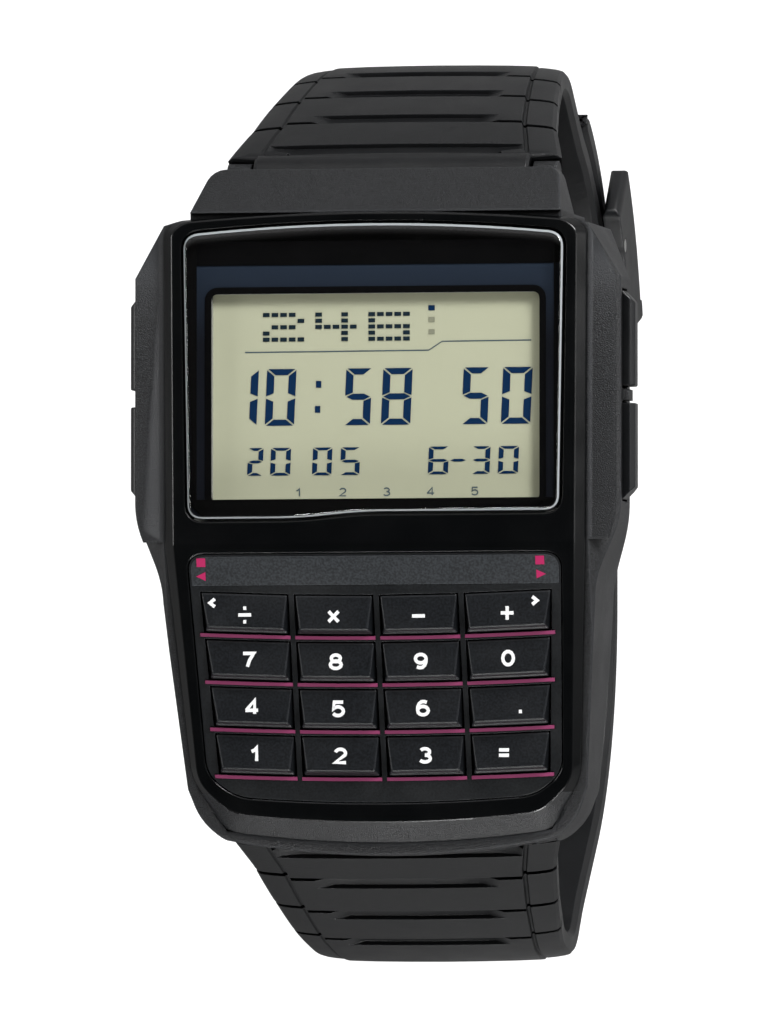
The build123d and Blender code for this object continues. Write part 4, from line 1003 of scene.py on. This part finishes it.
# Soft resin, a dull black whose finer grain keeps the links' edges readable.
strap_resin = moulded_resin("soft_black_strap_resin", "#0F1012", 0.42, 0.08, 0.02, 0.4, 0.1)
upper_strap = strap_mesh("strap_upper_links", upper_lug, upper_heading, upper_runs, 1, (0.9, 6.0, 11.1, 16.2))
dress(upper_strap, strap_resin, "strap_upper", slot="strap_resin")
lower_strap = strap_mesh("strap_lower_links", lower_lug, lower_heading, lower_runs, -1, (1.2, 5.66, 10.76, 15.86))
hole_pitch, hole_length, hole_width, first_hole_turn, hole_count = 5.2, 3.9, 2.3, 30.6, 6
end_travel, hole_turn = run_length(lower_runs), degrees(hole_pitch / loop_radius)
hole_straight = (hole_length - hole_width) / 2
holes = []
for index in range(hole_count):
    travel = end_travel - radians(tail_turn - first_hole_turn - (1 - index) * hole_turn) * loop_radius
    spot, outward = path_point(lower_lug, lower_heading, lower_runs, -1, travel)
    forward = Vector((outward.y, -outward.x))
    rings = []
    for level in (-1.0, strap_thickness + 1.0):
        ring = []
        for x, run in arc(0, 0, hole_width / 2, hole_width / 2, 0, 345, 23):
            place = spot - outward * level + forward * (run + (hole_straight if run >= 0 else -hole_straight))
            ring.append(on_flat(x, place.x, place.y))
        rings.append(ring)
    holes.append(rings)
carve(lower_strap, lofted("strap_holes", *holes))
dress(lower_strap, strap_resin, "strap_lower", slot="strap_resin")


# Buckle: moulded resin arms and far bar with softened edges, and the tang that loops round the bar.
# Harder resin than the strap, smoother, with paler edges, part wear and part painted highlight.
buckle_resin = moulded_resin("black_buckle_resin", "#131416", 0.4, 0.12, 0.004, 0.2, 0.2)
buckle = soften(cad_copy("buckle_frame"), 0.5, 1.0, lambda x, y, z, steep: True)
tang = mould_radius(cad_copy("buckle_tang"), 0.15)
for piece, node in ((buckle, "buckle_frame"), (tang, "buckle_tang")):
    dress(piece, buckle_resin, node, body=node, slot="buckle_resin")


# A row of plain numbers is printed below the digits of the display.
first_pixel, pixel_pitch, pixel_row, number_height, number_weight = 298.8, 44, 491.8, 0.55, 0.1
numbers = [(str(number), *from_photo(first_pixel + pixel_pitch * (number - 1), pixel_row, display_depth),
        number_height) for number in range(1, 6)]
dress(lettering("display_numbers", numbers, number_weight, lambda x, y: on_flat(x, y, display_level - 0.02)),
      pale_ink)


# Inside and behind: what the case holds keeps its CAD shape and gets the finish of its own process, so
# the back and the open case read as rolled steel, moulded rubber, laminate and film.
def finished(material, *names):
    """CAD nodes that are seen as they are, in the material."""
    for name in names:
        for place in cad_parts[name].material_slots:
            place.material = material


def brushed_metal(name, colour, roughness, line_size):
    """Metal with fine lines along X, which stretch its highlights, and faint clouds of handling."""
    made, tree = material_tree(name)
    stretched = add_node(tree, "Mapping", {"Vector": object_place(tree), "Scale": (0.03, 1.0, 1.0)})
    lines = noise(tree, line_size, 3.0, stretched)
    worn = add_node(tree, "Math", lines, noise(tree, 5.0, 2.0), operation="ADD")
    gloss = mapped(tree, worn, 0.6, 1.4, roughness * 0.7, roughness * 1.3)
    bump = add_node(tree, "Bump", {"Height": lines, "Strength": 0.4, "Distance": 0.004 * mm})
    return coated(made, linear(colour), gloss, Metallic=1.0, Normal=bump)


def striped(name, colour, stripe_colour, pitch, roughness, axis):
    """Layers of two materials in turn at a real pitch, such as carbon and silicone."""
    wave_scale = 0.314
    made, tree = material_tree(name)
    waves = add_node(tree, "TexWave", {"Vector": object_place(tree), "Scale": wave_scale / (pitch * mm),
            "Distortion": 0.3}, bands_direction=axis)
    bands = waves.outputs["Fac"]
    layer = blend(tree, bands, linear(colour), linear(stripe_colour))
    bump = add_node(tree, "Bump", {"Height": bands, "Strength": 0.3, "Distance": 0.01 * mm})
    return coated(made, layer, roughness, Normal=bump)


# Metals: name, colour, roughness and line size, then the nodes. Brushed for the back, turned for screws,
# drawn for pins, plated for the cell and rolled for springs, so each throws a different highlight.
for name, colour, roughness, line_size, nodes in (
        ("brushed_stainless_back", "#C2C1BF", 0.3, 0.06, ("case_back",)),
        ("turned_screw_steel", "#B5B4B1", 0.25, 0.03, ("back_screws", "battery_clip")),
        ("polished_pin_steel", "#C8C8C6", 0.2, 0.03, ("lug_bar_upper", "lug_bar_lower", "buckle_bar")),
        ("nickel_plated_cell", "#C9C7C0", 0.22, 0.05, ("battery",)),
        ("rolled_spring_brass", "#C9A45A", 0.28, 0.05, ("buzzer_disc", "contact_springs"))):
    finished(brushed_metal(name, colour, roughness, line_size), *nodes)
# Rubbers and plastics: name, colour, roughness, grain size, height and mottle, then the nodes. Rubber is
# dull and the frames a little brighter, so the layers of the module can be told apart.
for name, colour, roughness, grain_size, grain_height, mottle, nodes in (
        ("black_gasket_rubber", "#151515", 0.7, 0.08, 0.004, 0.2,
         ("crystal_gasket", "back_gasket", "button_seals")),
        ("white_holder_plastic", "#CFCFCB", 0.5, 0.15, 0.004, 0.03, ("display_holder",)),
        ("grey_key_mat_rubber", "#9C9C9E", 0.75, 0.1, 0.006, 0.06, ("key_mat",)),
        ("black_frame_plastic", "#5B5B5E", 0.55, 0.15, 0.006, 0.1, ("module_frame",)),
        ("chip_moulding_resin", "#262628", 0.6, 0.06, 0.004, 0.25, ("chip_package",))):
    finished(moulded_resin(name, colour, roughness, grain_size, grain_height, mottle), *nodes)
# Layered rubber shows thin dark lines, and laminate its green tracks. Film and cell glass are even.
finished(striped("layered_connector_rubber", "#8E8E92", "#2A2A2C", 0.18, 0.6, "X"), "connector_strips")
finished(striped("green_board_laminate", "#0F5A35", "#1B7046", 0.9, 0.35, "Y"), "circuit_board", "key_board")
finished(surface_material("light_panel_film", "#D6E2DA", 0.35), "light_panel")
finished(surface_material("display_cell_glass", "#B4B59C", 0.15), "display_panel")
